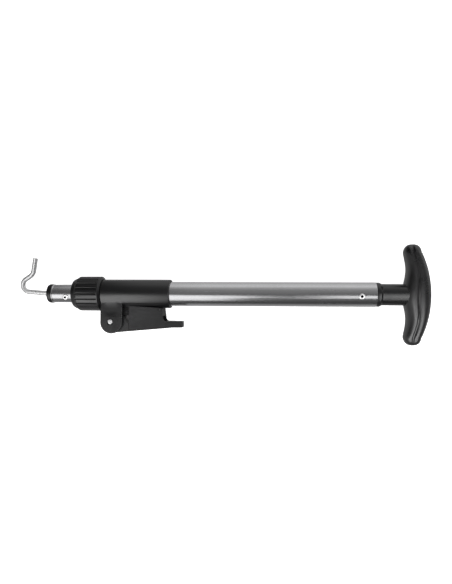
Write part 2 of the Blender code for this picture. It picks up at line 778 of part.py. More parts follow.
def build_grip_mesh(sides=24):
    bm = bmesh.new()
    rings = []
    for y in grip_stations():
        middle, thick, deep = grip_section(y)
        ring = []
        for side in range(sides):
            angle = 2 * math.pi * side / sides
            c, s = math.cos(angle), math.sin(angle)
            square = (abs(c) ** 2.3 + abs(s) ** 2.3) ** (-1 / 2.3)
            ring.append(bm.verts.new((middle + thick * c * square, y, deep * s * square)))
        rings.append(ring)
    for first, second in zip(rings, rings[1:]):
        for side in range(sides):
            after = (side + 1) % sides
            bm.faces.new((first[side], first[after], second[after], second[side]))
    for ring, y in ((rings[0], -GRIP_HALF_SPAN), (rings[-1], GRIP_HALF_SPAN)):
        tip = bm.verts.new((grip_section(y)[0], y, 0))
        for side in range(sides):
            bm.faces.new((ring[side], ring[(side + 1) % sides], tip))
    return bm


def core_shapes(growth):
    """The stem's end and the cross bar inside the grip, enlarged by a growth."""
    stem = rod(STEM_RADIUS + growth, 0.190, CORE_SHOULDER + growth, "X", ROUND_SIDES)
    bar = rod(CORE_BAR_RADIUS + growth, -CORE_BAR_HALF_SPAN - growth, CORE_BAR_HALF_SPAN + growth, "Y", 28)
    return stem, bar


def build_handle(axis):
    plug = OUTER_BORE - GAP
    flange_front = OUTER_REAR + GAP
    profile = [
        (CORE_FRONT, 0),
        (CORE_FRONT, plug - 0.0008),
        (CORE_FRONT + 0.0008, plug),
        (flange_front, plug),
        (flange_front, FLANGE_RADIUS),
        (flange_front + 0.0037, FLANGE_RADIUS),
        (flange_front + 0.0062, STEM_RADIUS),
        (CORE_SHOULDER, STEM_RADIUS),
        (CORE_SHOULDER, 0),
    ]
    core = make_object("handle_core", turned(profile), BODY_PLASTIC, axis)
    bar = core_shapes(0)[1]
    apply_tool(core, make_tool("core_bar", bar, axis, (CORE_BAR_X, 0, 0)), "UNION")
    neck = make_tool("core_neck", rod(0.0060, CORE_SHOULDER - 0.004, CORE_BAR_X, "X"), axis)
    apply_tool(core, neck, "UNION")
    hole = RIVET_SHANK_RADIUS + GAP
    drill(core, REAR_RIVET_X, REAR_RIVET_ANGLE, hole, 0.0078, 0.0150, axis)
    grip = make_object("handle_grip", build_grip_mesh(), GRIP_RUBBER, axis)
    stem, bar = core_shapes(GAP)
    apply_tool(grip, make_tool("grip_stem_hole", stem, axis))
    apply_tool(grip, make_tool("grip_bar_hole", bar, axis, (CORE_BAR_X, 0, 0)))
    neck_hole = rod(0.0060 + GAP, CORE_SHOULDER - 0.004, CORE_BAR_X, "X")
    apply_tool(grip, make_tool("grip_neck_hole", neck_hole, axis))


def main():
    clear_scene()
    axis = make_empty("pole_axis", (MIDDLE_SHIFT, 0, AXIS_HEIGHT))
    build_tubes(axis)
    build_clamp_body(axis)
    build_collar(axis)
    build_lever(axis)
    build_pin(axis)
    build_shoe(axis)
    build_hook(axis)
    build_rivet("front_rivet", FRONT_RIVET_X, FRONT_RIVET_ANGLE, INNER_RADIUS, axis)
    build_rivet("rear_rivet", REAR_RIVET_X, REAR_RIVET_ANGLE, OUTER_RADIUS, axis)
    build_guide(axis)
    build_handle(axis)


main()
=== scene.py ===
"""Looks for the telescopic hook pole: meshes, procedural materials, floor, light and camera."""

import json
import math

import bmesh
import bpy
from mathutils import Matrix, Vector

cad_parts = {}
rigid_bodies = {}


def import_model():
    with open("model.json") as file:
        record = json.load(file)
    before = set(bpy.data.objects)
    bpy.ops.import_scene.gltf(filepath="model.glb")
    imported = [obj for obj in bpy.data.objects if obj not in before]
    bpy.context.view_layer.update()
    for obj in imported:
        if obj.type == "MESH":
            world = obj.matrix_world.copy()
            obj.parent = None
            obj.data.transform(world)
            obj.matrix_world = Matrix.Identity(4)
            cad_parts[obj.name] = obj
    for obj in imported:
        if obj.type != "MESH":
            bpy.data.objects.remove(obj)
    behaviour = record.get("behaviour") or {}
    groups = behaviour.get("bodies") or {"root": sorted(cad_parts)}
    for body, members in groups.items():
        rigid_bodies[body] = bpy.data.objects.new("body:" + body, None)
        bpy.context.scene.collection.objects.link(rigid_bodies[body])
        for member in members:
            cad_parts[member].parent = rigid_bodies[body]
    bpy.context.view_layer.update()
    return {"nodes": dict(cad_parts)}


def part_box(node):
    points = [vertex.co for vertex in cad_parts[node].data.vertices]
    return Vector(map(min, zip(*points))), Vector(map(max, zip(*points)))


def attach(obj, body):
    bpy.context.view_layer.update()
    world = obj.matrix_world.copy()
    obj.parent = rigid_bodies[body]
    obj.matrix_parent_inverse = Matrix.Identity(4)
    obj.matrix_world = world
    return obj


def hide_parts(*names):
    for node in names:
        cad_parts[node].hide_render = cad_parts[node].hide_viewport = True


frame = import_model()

# Clearance between pieces, corners of a full round, and half the length of a drill through the clamp
GAP = 0.0003
ROUND = 144
THROUGH = 0.020

# Tubes
OUTER_RADIUS = 0.0140
OUTER_BORE = 0.0125
OUTER_FRONT = -0.0980
OUTER_REAR = 0.1745
INNER_RADIUS = 0.0105
INNER_BORE = 0.0094
INNER_FRONT = -0.1970
INNER_REAR = 0.1236
LIP_HEIGHT = 0.00025

# The place on the pole's axis that others are counted from, unless a comment says otherwise. X is along
# the pole, with the hook at its low end, Y is across it, with the lever on its low side, and Z is up.
TUBE_LOW, TUBE_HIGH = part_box("outer_tube")
ORIGIN = Vector((TUBE_LOW.x - OUTER_FRONT, 0.0, (TUBE_LOW.z + TUBE_HIGH.z) / 2))

# Clamp body. BOSS is the block round the brake shoe and BRIDGE the web between the ears' roots. Both
# begin at SUNK_Y, inside the body's wall. EAR_SWELL_SIDES are shares of half the ear's length, and
# EAR_BOSS_RISE are distances below the axis.
BODY_RADIUS = 0.0165
BODY_FRONT = -0.1371
BODY_REAR = -0.0586
GUIDE_RADIUS = 0.0109
SPIGOT_RADIUS = 0.0152
SPIGOT_FRONT = -0.1600
CONE_REAR = -0.1557
CONE_MOUTH_RADIUS = 0.01325
CONE_THROAT_RADIUS = 0.0121
EAR_CENTRE_X = -0.1246
EAR_CENTRE_Y = -0.0326
EAR_RADIUS = 0.0126
EAR_OUTSIDE = 0.0140
EAR_INSIDE = 0.0100
EAR_LEAN = 0.028
EAR_TOP_Y = -0.0050
EAR_STRAIGHT = 0.0278
EAR_RIM = 0.0009
EAR_SWELL = 0.00105
EAR_SWELL_FOOT_Y = -0.0215
EAR_SWELL_RISE = 0.0150
EAR_SWELL_SIDES = (0.30, 0.92)
EAR_BOSS_HEIGHT = 0.00034
EAR_BOSS_SPREAD = 0.0056
EAR_BOSS_RISE = (0.0205, 0.0270)
EAR_TUCK = 0.0004
EAR_TUCK_RISE = 0.0015
EAR_BELOW_BODY = 0.00006
EAR_SLOT_BOTTOM = -0.0600
BOSS_REAR = -0.1060
BOSS_BOTTOM = -0.0244
BOSS_HALF_WIDTH = 0.0095
BOSS_DRAFT = 0.26
BRIDGE_BOTTOM = -0.0240
BRIDGE_INSET = 0.0008
SUNK_Y = -0.0125

# Collar nut. Places inside it are counted from its front, and groove widths are shares of the pitch.
COLLAR_FRONT = -0.1713
COLLAR_REAR = -0.1376
COLLAR_RADIUS = 0.0199
COLLAR_GROOVE_RADIUS = 0.0188
COLLAR_BORE = 0.0155
COLLAR_PADS = 20
COLLAR_MOUTH_DEPTH = 0.0045
COLLAR_NOSE_RADIUS = 0.0160
COLLAR_REAR_BAND = 0.0027
PAD_START = 0.0070
PAD_CROWN = 0.00016
GROOVE_DEPTH = 0.0016
GROOVE_HALF_WIDTH = 0.03
GROOVE_WALL = 0.12

# Lever and brake shoe. Places on the cam, handle, tail and floor, the cross pin's and the screws' are
# counted from the lever pin. A screw's seat and tip are heights over the floor's lower face.
PIN_X = -0.1259
PIN_Y = -0.0319
PIN_RADIUS = 0.0030
LEVER_OPEN = math.radians(105)
SHOE_TRAVEL = 0.0014
CAM_TOP = 0.0071
CAM_HALF_WIDTH = 0.0095
TONGUE_HALF_WIDTH = 0.0079
HANDLE_HALF_WIDTH = 0.0103
HANDLE_WALL = 0.0020
HANDLE_DRAFT = 0.028
HANDLE_FRONT = 0.0204
HANDLE_END = 0.0588
HANDLE_TOP_FRONT = 0.0180
HANDLE_TOP_REAR = 0.0160
TAIL_END = 0.0814
TAIL_TOP = 0.0006
TAIL_BOTTOM = -0.0066
TAIL_HALF_WIDTH = 0.0060
FLOOR_SLOPE = 0.0888
FLOOR_START_Y = -0.0110
FLOOR_THICKNESS = 0.0030
CROSS_PIN_X = 0.0560
CROSS_PIN_Y = 0.0139
CROSS_PIN_RADIUS = 0.00075
SCREW_SPOTS = (0.0265, 0.0355)
SCREW_SEAT = 0.0019
SCREW_HEAD_RADIUS = 0.0029
SCREW_SHANK_RADIUS = 0.0015
SCREW_TIP = 0.0072
POCKET_RADIUS = 0.0084
POCKET_TOP = -0.0169
SHOE_RADIUS = 0.0052

# Hook, plug and rivets. A bend is the straight before it, its radius and its angle in degrees.
HOOK_RADIUS = 0.0028
HOOK_TAIL = -0.1630
HOOK_BENDS = (
    (0.0396, 0.0100, 4.5),
    (0.0238, 0.0080, 141.5),
    (0.0063, 0.0095, -47.5),
    (0.0152, 0.0, 0.0),
)
PLUG_FRONT = -0.2023
PLUG_RADIUS = 0.01095
PLUG_REAR = -0.1720
RIVET_HEAD_RADIUS = 0.0033
RIVET_SHANK_RADIUS = 0.0016
RIVET_LENGTH = 0.0055
FRONT_RIVET_X = -0.1794
FRONT_RIVET_ANGLE = math.radians(22)
REAR_RIVET_X = 0.1572
REAR_RIVET_ANGLE = math.radians(8)

# Stem and grip. The crease's width, place and shift are shares of the grip's half thickness.
STEM_RADIUS = 0.01215
FLANGE_RADIUS = 0.0137
CORE_FRONT = 0.1305
CORE_SHOULDER = 0.2120
CORE_BAR_X = 0.2200
CORE_BAR_RADIUS = 0.0065
CORE_BAR_HALF_SPAN = 0.0400
CORE_NECK_RADIUS = 0.0060
CORE_NECK_START = CORE_SHOULDER - 0.0040
GRIP_HALF_SPAN = 0.0570
GRIP_OUTER_X = 0.2356
GRIP_OUTER_ARC = 0.1180
GRIP_INNER_X = 0.2064
GRIP_WAVE = 0.0020
GRIP_WAVE_LENGTH = 0.0560
GRIP_CAP_START = 0.0440
GRIP_MIDDLE_DEPTH = 0.0154
GRIP_END_DEPTH = 0.0095
GRIP_CAP_POWER = 2.6
GRIP_CURVE_END = 0.0480
GRIP_SQUARENESS = 2.3
CREASE_DEPTH = 0.0018
CREASE_WIDTH = 0.14
CREASE_FULL_THICKNESS = 0.0147
CREASE_PLACE = -0.04
CREASE_SHIFT = -0.06
CREASE_SHIFT_SPAN = 0.030
CREASE_DEEPENING = 0.9
CREASE_DEEPENING_SPAN = 0.045

# Camera, with its aim counted from ORIGIN
CAMERA_LENS = 29.930
CAMERA_SHIFT = (-0.0342, 0.0025)
CAMERA_YAW = math.radians(3.0875)
CAMERA_ROLL = math.radians(0.215)
CAMERA_AIM = (0.02801, 0.00088, 0.0)
CAMERA_DISTANCE = 0.55674


# Mesh helpers

def link(name, bm):
    """Makes an object of a mesh, with doubled vertices merged and every face turned outward."""
    bmesh.ops.remove_doubles(bm, verts=bm.verts[:], dist=1e-7)
    bmesh.ops.recalc_face_normals(bm, faces=bm.faces[:])
    mesh = bpy.data.meshes.new(name)
    bm.to_mesh(mesh)
    bm.free()
    made = bpy.data.objects.new(name, mesh)
    bpy.context.scene.collection.objects.link(made)
    return made


def placed(made, place=(0, 0, 0), rotation=(0, 0, 0)):
    """Puts an object at a place counted from ORIGIN."""
    made.location = ORIGIN + Vector(place)
    made.rotation_euler = rotation
    return made


def cut(target, bm, place=(0, 0, 0), rotation=(0, 0, 0), operation="DIFFERENCE"):
    """Takes a shape away from an object, or adds it, once the object is settled."""
    modifier = target.modifiers.new("cut", "BOOLEAN")
    modifier.operation = operation
    modifier.object = placed(link("cutter", bm), place, rotation)
    modifier.solver = "EXACT"


def settle(target):
    """Applies the modifiers and removes their cutters."""
    bpy.context.view_layer.update()
    graph = bpy.context.evaluated_depsgraph_get()
    mesh = bpy.data.meshes.new_from_object(target.evaluated_get(graph))
    tools = [m.object for m in target.modifiers if m.type == "BOOLEAN"]
    target.modifiers.clear()
    target.data = mesh
    for tool in tools:
        bpy.data.objects.remove(tool)


def soften(target, width, segments):
    """Rounds the sharp edges that an object has by now."""
    modifier = target.modifiers.new("soften", "BEVEL")
    modifier.width = width
    modifier.segments = segments
    modifier.limit_method = "ANGLE"
    modifier.angle_limit = math.radians(40)


def finished(target, material, body, node, smooth_angle=30, flat_sides=False):
    """Settles a piece, shades it, gives it its material, hides its CAD node and sets it on that node's
    body.
    """
    settle(target)
    target.data.shade_smooth()
    target.data.set_sharp_from_angle(angle=math.radians(smooth_angle))
    if flat_sides:
        weighted = target.modifiers.new("flat_sides", "WEIGHTED_NORMAL")
        weighted.mode = "FACE_AREA"
        weighted.weight = 100
        weighted.keep_sharp = True
        settle(target)
    mesh = target.data
    mesh.materials.clear()
    mesh.materials.append(material)
    for face in mesh.polygons:
        face.material_index = 0
    target.name = node + "_look"
    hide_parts(node)
    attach(target, body)


def on_axis(axis, along, across, up):
    """A place given by its length along an axis and its two distances from it."""
    if axis == "X":
        return (along, across, up)
    if axis == "Y":
        return (up, along, across)
    return (across, up, along)


def around(sides):
    """The angles of a ring's corners."""
    return [2 * math.pi * side / sides for side in range(sides)]


def join_rings(bm, rings):
    """Skins each ring of vertices to the next. A ring of one vertex is a tip."""
    for first, second in zip(rings, rings[1:]):
        sides = max(len(first), len(second))
        for side in range(sides):
            after = (side + 1) % sides
            corners = [first[side % len(first)], first[after % len(first)]]
            corners += [second[after % len(second)], second[side % len(second)]]
            bm.faces.new(list(dict.fromkeys(corners)))


def turned(profile, sides=ROUND, axis="X", radius_at=None):
    """Turns an (along, radius) profile round an axis. It is closed if it stays clear of the axis."""
    bm = bmesh.new()
    rings = []
    for along, radius in profile:
        if radius == 0:
            rings.append([bm.verts.new(on_axis(axis, along, 0, 0))])
            continue
        ring = []
        for angle in around(sides):
            reach = radius if radius_at is None else radius_at(angle, along, radius)
            spot = on_axis(axis, along, reach * math.cos(angle), reach * math.sin(angle))
            ring.append(bm.verts.new(spot))
        rings.append(ring)
    if all(len(ring) > 1 for ring in rings):
        rings.append(rings[0])
    join_rings(bm, rings)
    return bm


def rounded_profile(points, steps=4):
    """Rounds the corners of a closed profile. Each point is (along, radius, rounding)."""
    out = []
    for i, (along, radius, size) in enumerate(points):
        here = Vector((along, radius))
        if size == 0:
            out.append(tuple(here))
            continue
        to_before = Vector(points[i - 1][:2]) - here
        to_after = Vector(points[(i + 1) % len(points)][:2]) - here
        reach = min(size, to_before.length * 0.45, to_after.length * 0.45)
        start = here + to_before.normalized() * reach
        end = here + to_after.normalized() * reach
        for step in range(steps + 1):
            t = step / steps
            out.append(tuple(start * (1 - t) ** 2 + here * 2 * t * (1 - t) + end * t**2))
    return out


def capped(bm, near, far):
    """Closes two loops of vertices into a solid."""
    bm.faces.new(near)
    bm.faces.new(far)
    join_rings(bm, [near, far])
    return bm


def prism(outline, half_width):
    """A side view drawn out to both sides of the middle plane."""
    bm = bmesh.new()
    near = [bm.verts.new((x, y, half_width)) for x, y in outline]
    far = [bm.verts.new((x, y, -half_width)) for x, y in outline]
    return capped(bm, near, far)


def drafted(bm, draft, base_y):
    """Leans the sides of a prism inward, more and more above a height."""
    for vert in bm.verts:
        vert.co.z -= math.copysign(draft * (vert.co.y - base_y), vert.co.z)
    return bm


def arc(centre_x, centre_y, radius, start_deg, end_deg, steps):
    """Points on a round stretch of an outline."""
    points = []
    for step in range(steps + 1):
        angle = math.radians(start_deg + (end_deg - start_deg) * step / steps)
        points.append((centre_x + radius * math.cos(angle), centre_y + radius * math.sin(angle)))
    return points


def box_outline(left, right, bottom, top):
    """The four corners of an upright rectangle."""
    return [(left, bottom), (right, bottom), (right, top), (left, top)]


def rod(radius, start, end, axis, sides=48):
    """A plain round bar."""
    return turned([(start, 0), (start, radius), (end, radius), (end, 0)], sides, axis)


def swept(path, radius, sides):
    """A round wire along a path, with the rims of its two ends broken."""
    points = [Vector(p) for p in path]
    rim = radius * 0.16
    end_scale = 0.82
    start = points[0] + (points[1] - points[0]).normalized() * rim
    end = points[-1] - (points[-1] - points[-2]).normalized() * rim
    full = [(point, 1.0) for point in (start, *points[1:-1], end)]
    stations = [(points[0], end_scale), *full, (points[-1], end_scale)]
    bm = bmesh.new()
    normal = None
    rings = []
    for i, (point, scale) in enumerate(stations):
        before = stations[max(i - 1, 0)][0]
        after = stations[min(i + 1, len(stations) - 1)][0]
        tangent = (after - before).normalized()
        if normal is None:
            normal = tangent.orthogonal()
        normal = (normal - tangent * normal.dot(tangent)).normalized()
        across = tangent.cross(normal)
        ring = []
        for angle in around(sides):
            offset = normal * math.cos(angle) + across * math.sin(angle)
            ring.append(bm.verts.new(point + offset * radius * scale))
        rings.append(ring)
    join_rings(bm, rings)
    bm.faces.new(rings[0])
    bm.faces.new(rings[-1])
    return bm


def step_between(low, high, value):
    """A smooth step from 0 at the low end to 1 at the high end."""
    t = min(1.0, max(0.0, (value - low) / (high - low)))
    return t * t * (3 - 2 * t)


# Materials

class Nodes:
    """Short ways to add and join the nodes of a material or a world."""

    def __init__(self, owner, place):
        owner.use_nodes = True
        self.tree = owner.node_tree
        self.place = self.add("ShaderNodeTexCoord").outputs[place]

    def add(self, kind, **settings):
        node = self.tree.nodes.new(kind)
        for key, value in settings.items():
            setattr(node, key, value)
        return node

    def join(self, output, node_input):
        self.tree.links.new(output, node_input)

    def noise(self, scale, detail, roughness, stretch=(1, 1, 1), distortion=0.0):
        """Noise in object space. A stretch below 1 draws it out along that axis."""
        mapping = self.add("ShaderNodeMapping")
        mapping.inputs["Scale"].default_value = stretch
        self.join(self.place, mapping.inputs["Vector"])
        noise = self.add("ShaderNodeTexNoise")
        noise.inputs["Scale"].default_value = scale
        noise.inputs["Detail"].default_value = detail
        noise.inputs["Roughness"].default_value = roughness
        noise.inputs["Distortion"].default_value = distortion
        self.join(mapping.outputs["Vector"], noise.inputs["Vector"])
        return noise.outputs["Fac"]

    def ranged(self, value, low, high, from_low=0.3, from_high=0.7):
        """Carries one range of values over to another, clamped at both ends."""
        node = self.add("ShaderNodeMapRange")
        node.inputs["From Min"].default_value = from_low
        node.inputs["From Max"].default_value = from_high
        node.inputs["To Min"].default_value = low
        node.inputs["To Max"].default_value = high
        self.join(value, node.inputs["Value"])
        return node.outputs["Result"]

    def maths(self, operation, first, second=0.0):
        """One operation on two values. Each is a number or another node's output."""
        node = self.add("ShaderNodeMath", operation=operation)
        for value, socket in ((first, node.inputs[0]), (second, node.inputs[1])):
            if isinstance(value, (int, float)):
                socket.default_value = value
            else:
                self.join(value, socket)
        return node.outputs["Value"]

    def blend(self, factor, first, second):
        """Mixes two colours. Each is a tuple or another node's output."""
        node = self.add("ShaderNodeMix", data_type="RGBA")
        self.join(factor, node.inputs["Factor"])
        for colour, socket in ((first, node.inputs[6]), (second, node.inputs[7])):
            if isinstance(colour, tuple):
                socket.default_value = (*colour, 1.0)
            else:
                self.join(colour, socket)
        return node.outputs[2]

    def bump(self, height, strength, distance, below=None):
        """Turns heights into a normal, on top of another bump if one is given."""
        node = self.add("ShaderNodeBump")
        node.inputs["Strength"].default_value = strength
        node.inputs["Distance"].default_value = distance
        self.join(height, node.inputs["Height"])
        if below is not None:
            self.join(below, node.inputs["Normal"])
        return node.outputs["Normal"]

    def worn_edges(self):
        """1 on an outside edge and 0 on a flat or hollow place."""
        geometry = self.add("ShaderNodeNewGeometry")
        return self.ranged(geometry.outputs["Pointiness"], 0.0, 1.0, 0.52, 0.60)


class Finish(Nodes):
    """The nodes of one material, round its Principled shader."""

    def __init__(self, name):
        self.material = bpy.data.materials.new(name)
        super().__init__(self.material, "Object")
        self.shader = self.tree.nodes["Principled BSDF"]

    def set(self, **values):
        """Sets the shader's plain inputs. An underscore in a name stands for a space."""
        for key, value in values.items():
            self.shader.inputs[key.replace("_", " ")].default_value = value

    def colour(self, value):
        self.join(value, self.shader.inputs["Base Color"])

    def roughness(self, value):
        self.join(value, self.shader.inputs["Roughness"])

    def normal(self, value):
        self.join(value, self.shader.inputs["Normal"])


def drawn_metal(name, colour, dull, roughness, metallic):
    """Drawn, matt-anodised aluminium: fine lines along the draw, scratches and faint dull patches."""
    n = Finish(name)
    n.set(Metallic=metallic)
    lines = n.noise(900.0, 3.0, 0.6, (0.012, 1, 1))
    scratches = n.noise(315.0, 2.0, 0.5, (0.036, 1, 1))
    patches = n.noise(28.0, 5.0, 0.6)
    fine = n.noise(2600.0, 2.0, 0.5)
    patch_share = n.ranged(patches, 0.0, 1.0, 0.35, 0.75)
    line_share = n.ranged(lines, 0.0, 1.0)
    n.colour(n.blend(n.maths("MULTIPLY", patch_share, 0.55), colour, dull))
    lined = n.ranged(line_share, roughness - 0.02, roughness + 0.04, 0, 1)
    rough = n.maths("ADD", lined, n.ranged(patches, -0.005, 0.010))
    n.roughness(n.maths("ADD", rough, n.ranged(fine, -0.01, 0.02)))
    deep = n.ranged(scratches, 0.0, 1.0, 0.62, 0.70)
    height = n.maths("SUBTRACT", line_share, n.maths("MULTIPLY", deep, 0.8))
    n.normal(n.bump(height, 0.30, 0.00002))
    return n.material


def bright_wire(name, colour, dull, roughness, metallic=1.0, painted_shade_radius=0.0):
    """Bright plated metal with faint draw marks and a little haze.

    A nonzero last value is the radius of a round spot on the Z axis, painted near black and without
    gloss: painted shade inside a rivet's hole.
    """
    n = Finish(name)
    n.set(Metallic=metallic)
    haze = n.noise(160.0, 6.0, 0.6)
    marks = n.noise(1400.0, 3.0, 0.6, (0.25, 1, 1))
    plated = n.blend(n.ranged(haze, 0.0, 0.7), colour, dull)
    # Painted shade: inside the given radius the metal is painted near black and loses its gloss, for the
    # shade in a rivet's hole.
    if painted_shade_radius:
        parts = n.add("ShaderNodeSeparateXYZ")
        n.join(n.place, parts.inputs[0])
        across = n.maths("MULTIPLY", parts.outputs["X"], parts.outputs["X"])
        up = n.maths("MULTIPLY", parts.outputs["Y"], parts.outputs["Y"])
        reach = n.maths("SQRT", n.maths("ADD", across, up))
        inside = n.ranged(reach, 1.0, 0.0, painted_shade_radius - 0.0001, painted_shade_radius + 0.0001)
        plated = n.blend(inside, plated, (0.004, 0.004, 0.004))
        n.join(n.maths("SUBTRACT", 1.0, inside), n.shader.inputs["Specular IOR Level"])
    n.colour(plated)
    hazy = n.ranged(haze, roughness - 0.02, roughness + 0.06)
    n.roughness(n.maths("ADD", hazy, n.ranged(marks, -0.01, 0.03)))
    n.normal(n.bump(marks, 0.25, 0.00003))
    return n.material


def moulded(name, colour, worn, roughness, index=1.5, flow=(1, 1, 1), wear=0.6):
    """Moulded plastic: fine spark grain, slow gloss changes, rubbed edges and a few scuffs."""
    n = Finish(name)
    n.set(IOR=index)
    grain = n.noise(2200.0, 3.0, 0.6)
    cloud = n.noise(70.0, 5.0, 0.6, flow)
    scuff = n.noise(420.0, 6.0, 0.7, (0.25, 1, 1), 0.6)
    edge = n.maths("MULTIPLY", n.worn_edges(), wear)
    rubbed = n.maths("MULTIPLY", edge, n.ranged(scuff, 0.3, 1.0, 0.35, 0.65))
    lighter = tuple(c * 1.35 for c in colour)
    base = n.blend(n.ranged(cloud, 0.0, 1.0), colour, lighter)
    n.colour(n.blend(rubbed, base, worn))
    scuffs = n.ranged(scuff, 0.0, 0.10, 0.58, 0.72)
    soft = n.maths("ADD", n.ranged(cloud, roughness - 0.04, roughness + 0.06), scuffs)
    n.roughness(n.maths("SUBTRACT", soft, n.maths("MULTIPLY", rubbed, 0.10)))
    n.normal(n.bump(grain, 0.30, 0.00004, n.bump(scuffs, 0.5, 0.00003)))
    return n.material


def rubbery(name, colour, worn, roughness):
    """Soft overmoulded rubber: stippled skin with a dry bloom."""
    n = Finish(name)
    n.set(IOR=1.74)
    stipple = n.add("ShaderNodeTexVoronoi")
    stipple.inputs["Scale"].default_value = 2100.0
    n.join(n.place, stipple.inputs["Vector"])
    bloom = n.noise(55.0, 6.0, 0.62)
    dust = n.noise(1500.0, 3.0, 0.6)
    base = n.blend(n.ranged(bloom, 0.0, 0.8), colour, worn)
    n.colour(n.blend(n.ranged(dust, 0.0, 0.35, 0.6, 0.8), base, worn))
    dry = n.ranged(bloom, roughness - 0.04, roughness + 0.06)
    n.roughness(n.maths("ADD", dry, n.ranged(dust, 0.0, 0.05)))
    n.normal(n.bump(stipple.outputs["Distance"], 0.22, 0.00005, n.bump(bloom, 0.15, 0.0002)))
    return n.material


# Each has its name, main colour, dull or worn colour, roughness, and metal share or refraction.
TUBE = drawn_metal("tube_metal", (0.64, 0.64, 0.65), (0.57, 0.57, 0.58), 0.22, 0.87)
INNER_TUBE = drawn_metal("inner_tube_metal", (0.58, 0.58, 0.59), (0.53, 0.53, 0.54), 0.20, 0.96)
HOOK = bright_wire("hook_steel", (0.95, 0.95, 0.95), (0.86, 0.86, 0.87), 0.25, 0.62)
PIN = bright_wire("pin_steel", (0.74, 0.74, 0.74), (0.64, 0.64, 0.65), 0.36, 0.35)
SCREW = bright_wire("screw_steel", (0.60, 0.60, 0.60), (0.46, 0.46, 0.48), 0.32)
SPRING = bright_wire("spring_steel", (0.62, 0.62, 0.64), (0.45, 0.45, 0.47), 0.32)
CROSS_PIN = bright_wire("cross_pin_steel", (0.12, 0.12, 0.12), (0.08, 0.08, 0.085), 0.38)
# The rivet's last value is the radius of the painted shade in its hole, painted near black.
RIVET = bright_wire("rivet_metal", (0.95, 0.95, 0.95), (0.88, 0.88, 0.89), 0.30, 0.60, 0.00160)
BODY = moulded("body_plastic", (0.006, 0.006, 0.0065), (0.035, 0.035, 0.037), 0.30, 1.58, (0.3, 1, 1))
COLLAR = moulded("collar_plastic", (0.006, 0.006, 0.0065), (0.045, 0.045, 0.045), 0.33, 1.54, wear=0.8)
LEVER = moulded("lever_plastic", (0.009, 0.009, 0.0095), (0.045, 0.045, 0.047), 0.40, 1.46, wear=0.7)
PLUG = moulded("plug_plastic", (0.004, 0.004, 0.0045), (0.02, 0.02, 0.02), 0.34, 1.45)
CORE = moulded("core_plastic", (0.006, 0.006, 0.0065), (0.035, 0.035, 0.035), 0.30, 1.58)
SHOE = moulded("shoe_plastic", (0.10, 0.10, 0.10), (0.20, 0.20, 0.20), 0.45)
NYLON = moulded("pale_nylon", (0.60, 0.59, 0.55), (0.75, 0.74, 0.70), 0.42)
GRIP = rubbery("grip_rubber", (0.007, 0.007, 0.0075), (0.013, 0.013, 0.0135), 0.27)


# Pieces

def cut_rivet_hole(target, x, angle, inner, outer):
    """A clear hole for a rivet's shank, from one distance off the axis to another."""
    cut(target, rod(RIVET_SHANK_RADIUS + GAP, inner, outer, "Z"), (x, 0, 0), (angle, 0, 0))


def make_tubes():
    """The wide tube, and the thin tube with a low rolled lip at its front."""
    wide = [
        (OUTER_FRONT, OUTER_BORE, 0.0002),
        (OUTER_FRONT, OUTER_RADIUS, 0.0004),
        (OUTER_REAR, OUTER_RADIUS, 0.0004),
        (OUTER_REAR, OUTER_BORE, 0.0002),
    ]
    outer = placed(link("outer", turned(rounded_profile(wide))))
    cut_rivet_hole(outer, REAR_RIVET_X, REAR_RIVET_ANGLE, 0.010, 0.016)
    finished(outer, TUBE, "pole", "outer_tube")
    lip = INNER_RADIUS + LIP_HEIGHT
    thin = [
        (INNER_FRONT, INNER_BORE, 0.0002),
        (INNER_FRONT, INNER_RADIUS, 0.0002),
        (INNER_FRONT + 0.0003, lip, 0.0003),
        (INNER_FRONT + 0.0013, lip, 0.0003),
        (INNER_FRONT + 0.0019, INNER_RADIUS, 0.0003),
        (INNER_REAR, INNER_RADIUS, 0.0003),
        (INNER_REAR, INNER_BORE, 0.0002),
    ]
    inner = placed(link("inner", turned(rounded_profile(thin))))
    cut_rivet_hole(inner, FRONT_RIVET_X, FRONT_RIVET_ANGLE, 0.007, 0.013)
    finished(inner, INNER_TUBE, "inner", "inner_tube")


def ear_height(x, y):
    """Outside of an ear: a flat plate that swells into the round body, with a soft boss at the pin."""
    body = math.sqrt(max(0.0, BODY_RADIUS**2 - min(abs(y), BODY_RADIUS) ** 2))
    side = abs(x - EAR_CENTRE_X) / EAR_RADIUS
    climb = min(1.0, max(0.0, (y - EAR_SWELL_FOOT_Y) / EAR_SWELL_RISE))
    swell = EAR_SWELL * climb**3.2 * (1 - step_between(*EAR_SWELL_SIDES, side))
    off_boss = (x - EAR_CENTRE_X) / EAR_BOSS_SPREAD
    boss = EAR_BOSS_HEIGHT * step_between(*EAR_BOSS_RISE, -y) * math.exp(-(off_boss**2))
    lean = EAR_LEAN * (PIN_Y - y)
    return max(EAR_OUTSIDE + lean + swell + boss, body - EAR_BELOW_BODY)


def ear_half_length(y):
    """Half the ear's length along the pole at a height."""
    if y >= EAR_CENTRE_Y:
        return EAR_RADIUS
    return math.sqrt(max(0.0, EAR_RADIUS**2 - (EAR_CENTRE_Y - y) ** 2))


def ear_rim_drop(x, y):
    """How far the ear's rounded rim falls below its face."""
    inset = EAR_RADIUS - math.hypot(x - EAR_CENTRE_X, min(0.0, y - EAR_CENTRE_Y))
    t = max(0.0, 1 - inset / EAR_RIM)
    return EAR_RIM * (1 - math.sqrt(max(0.0, 1 - t * t)))


def edge_of(grid):
    """The vertices round the edge of a grid, in order."""
    left = [row[0] for row in grid]
    right = [row[-1] for row in reversed(grid)]
    return left + grid[-1][1:-1] + right + grid[0][-2:0:-1]


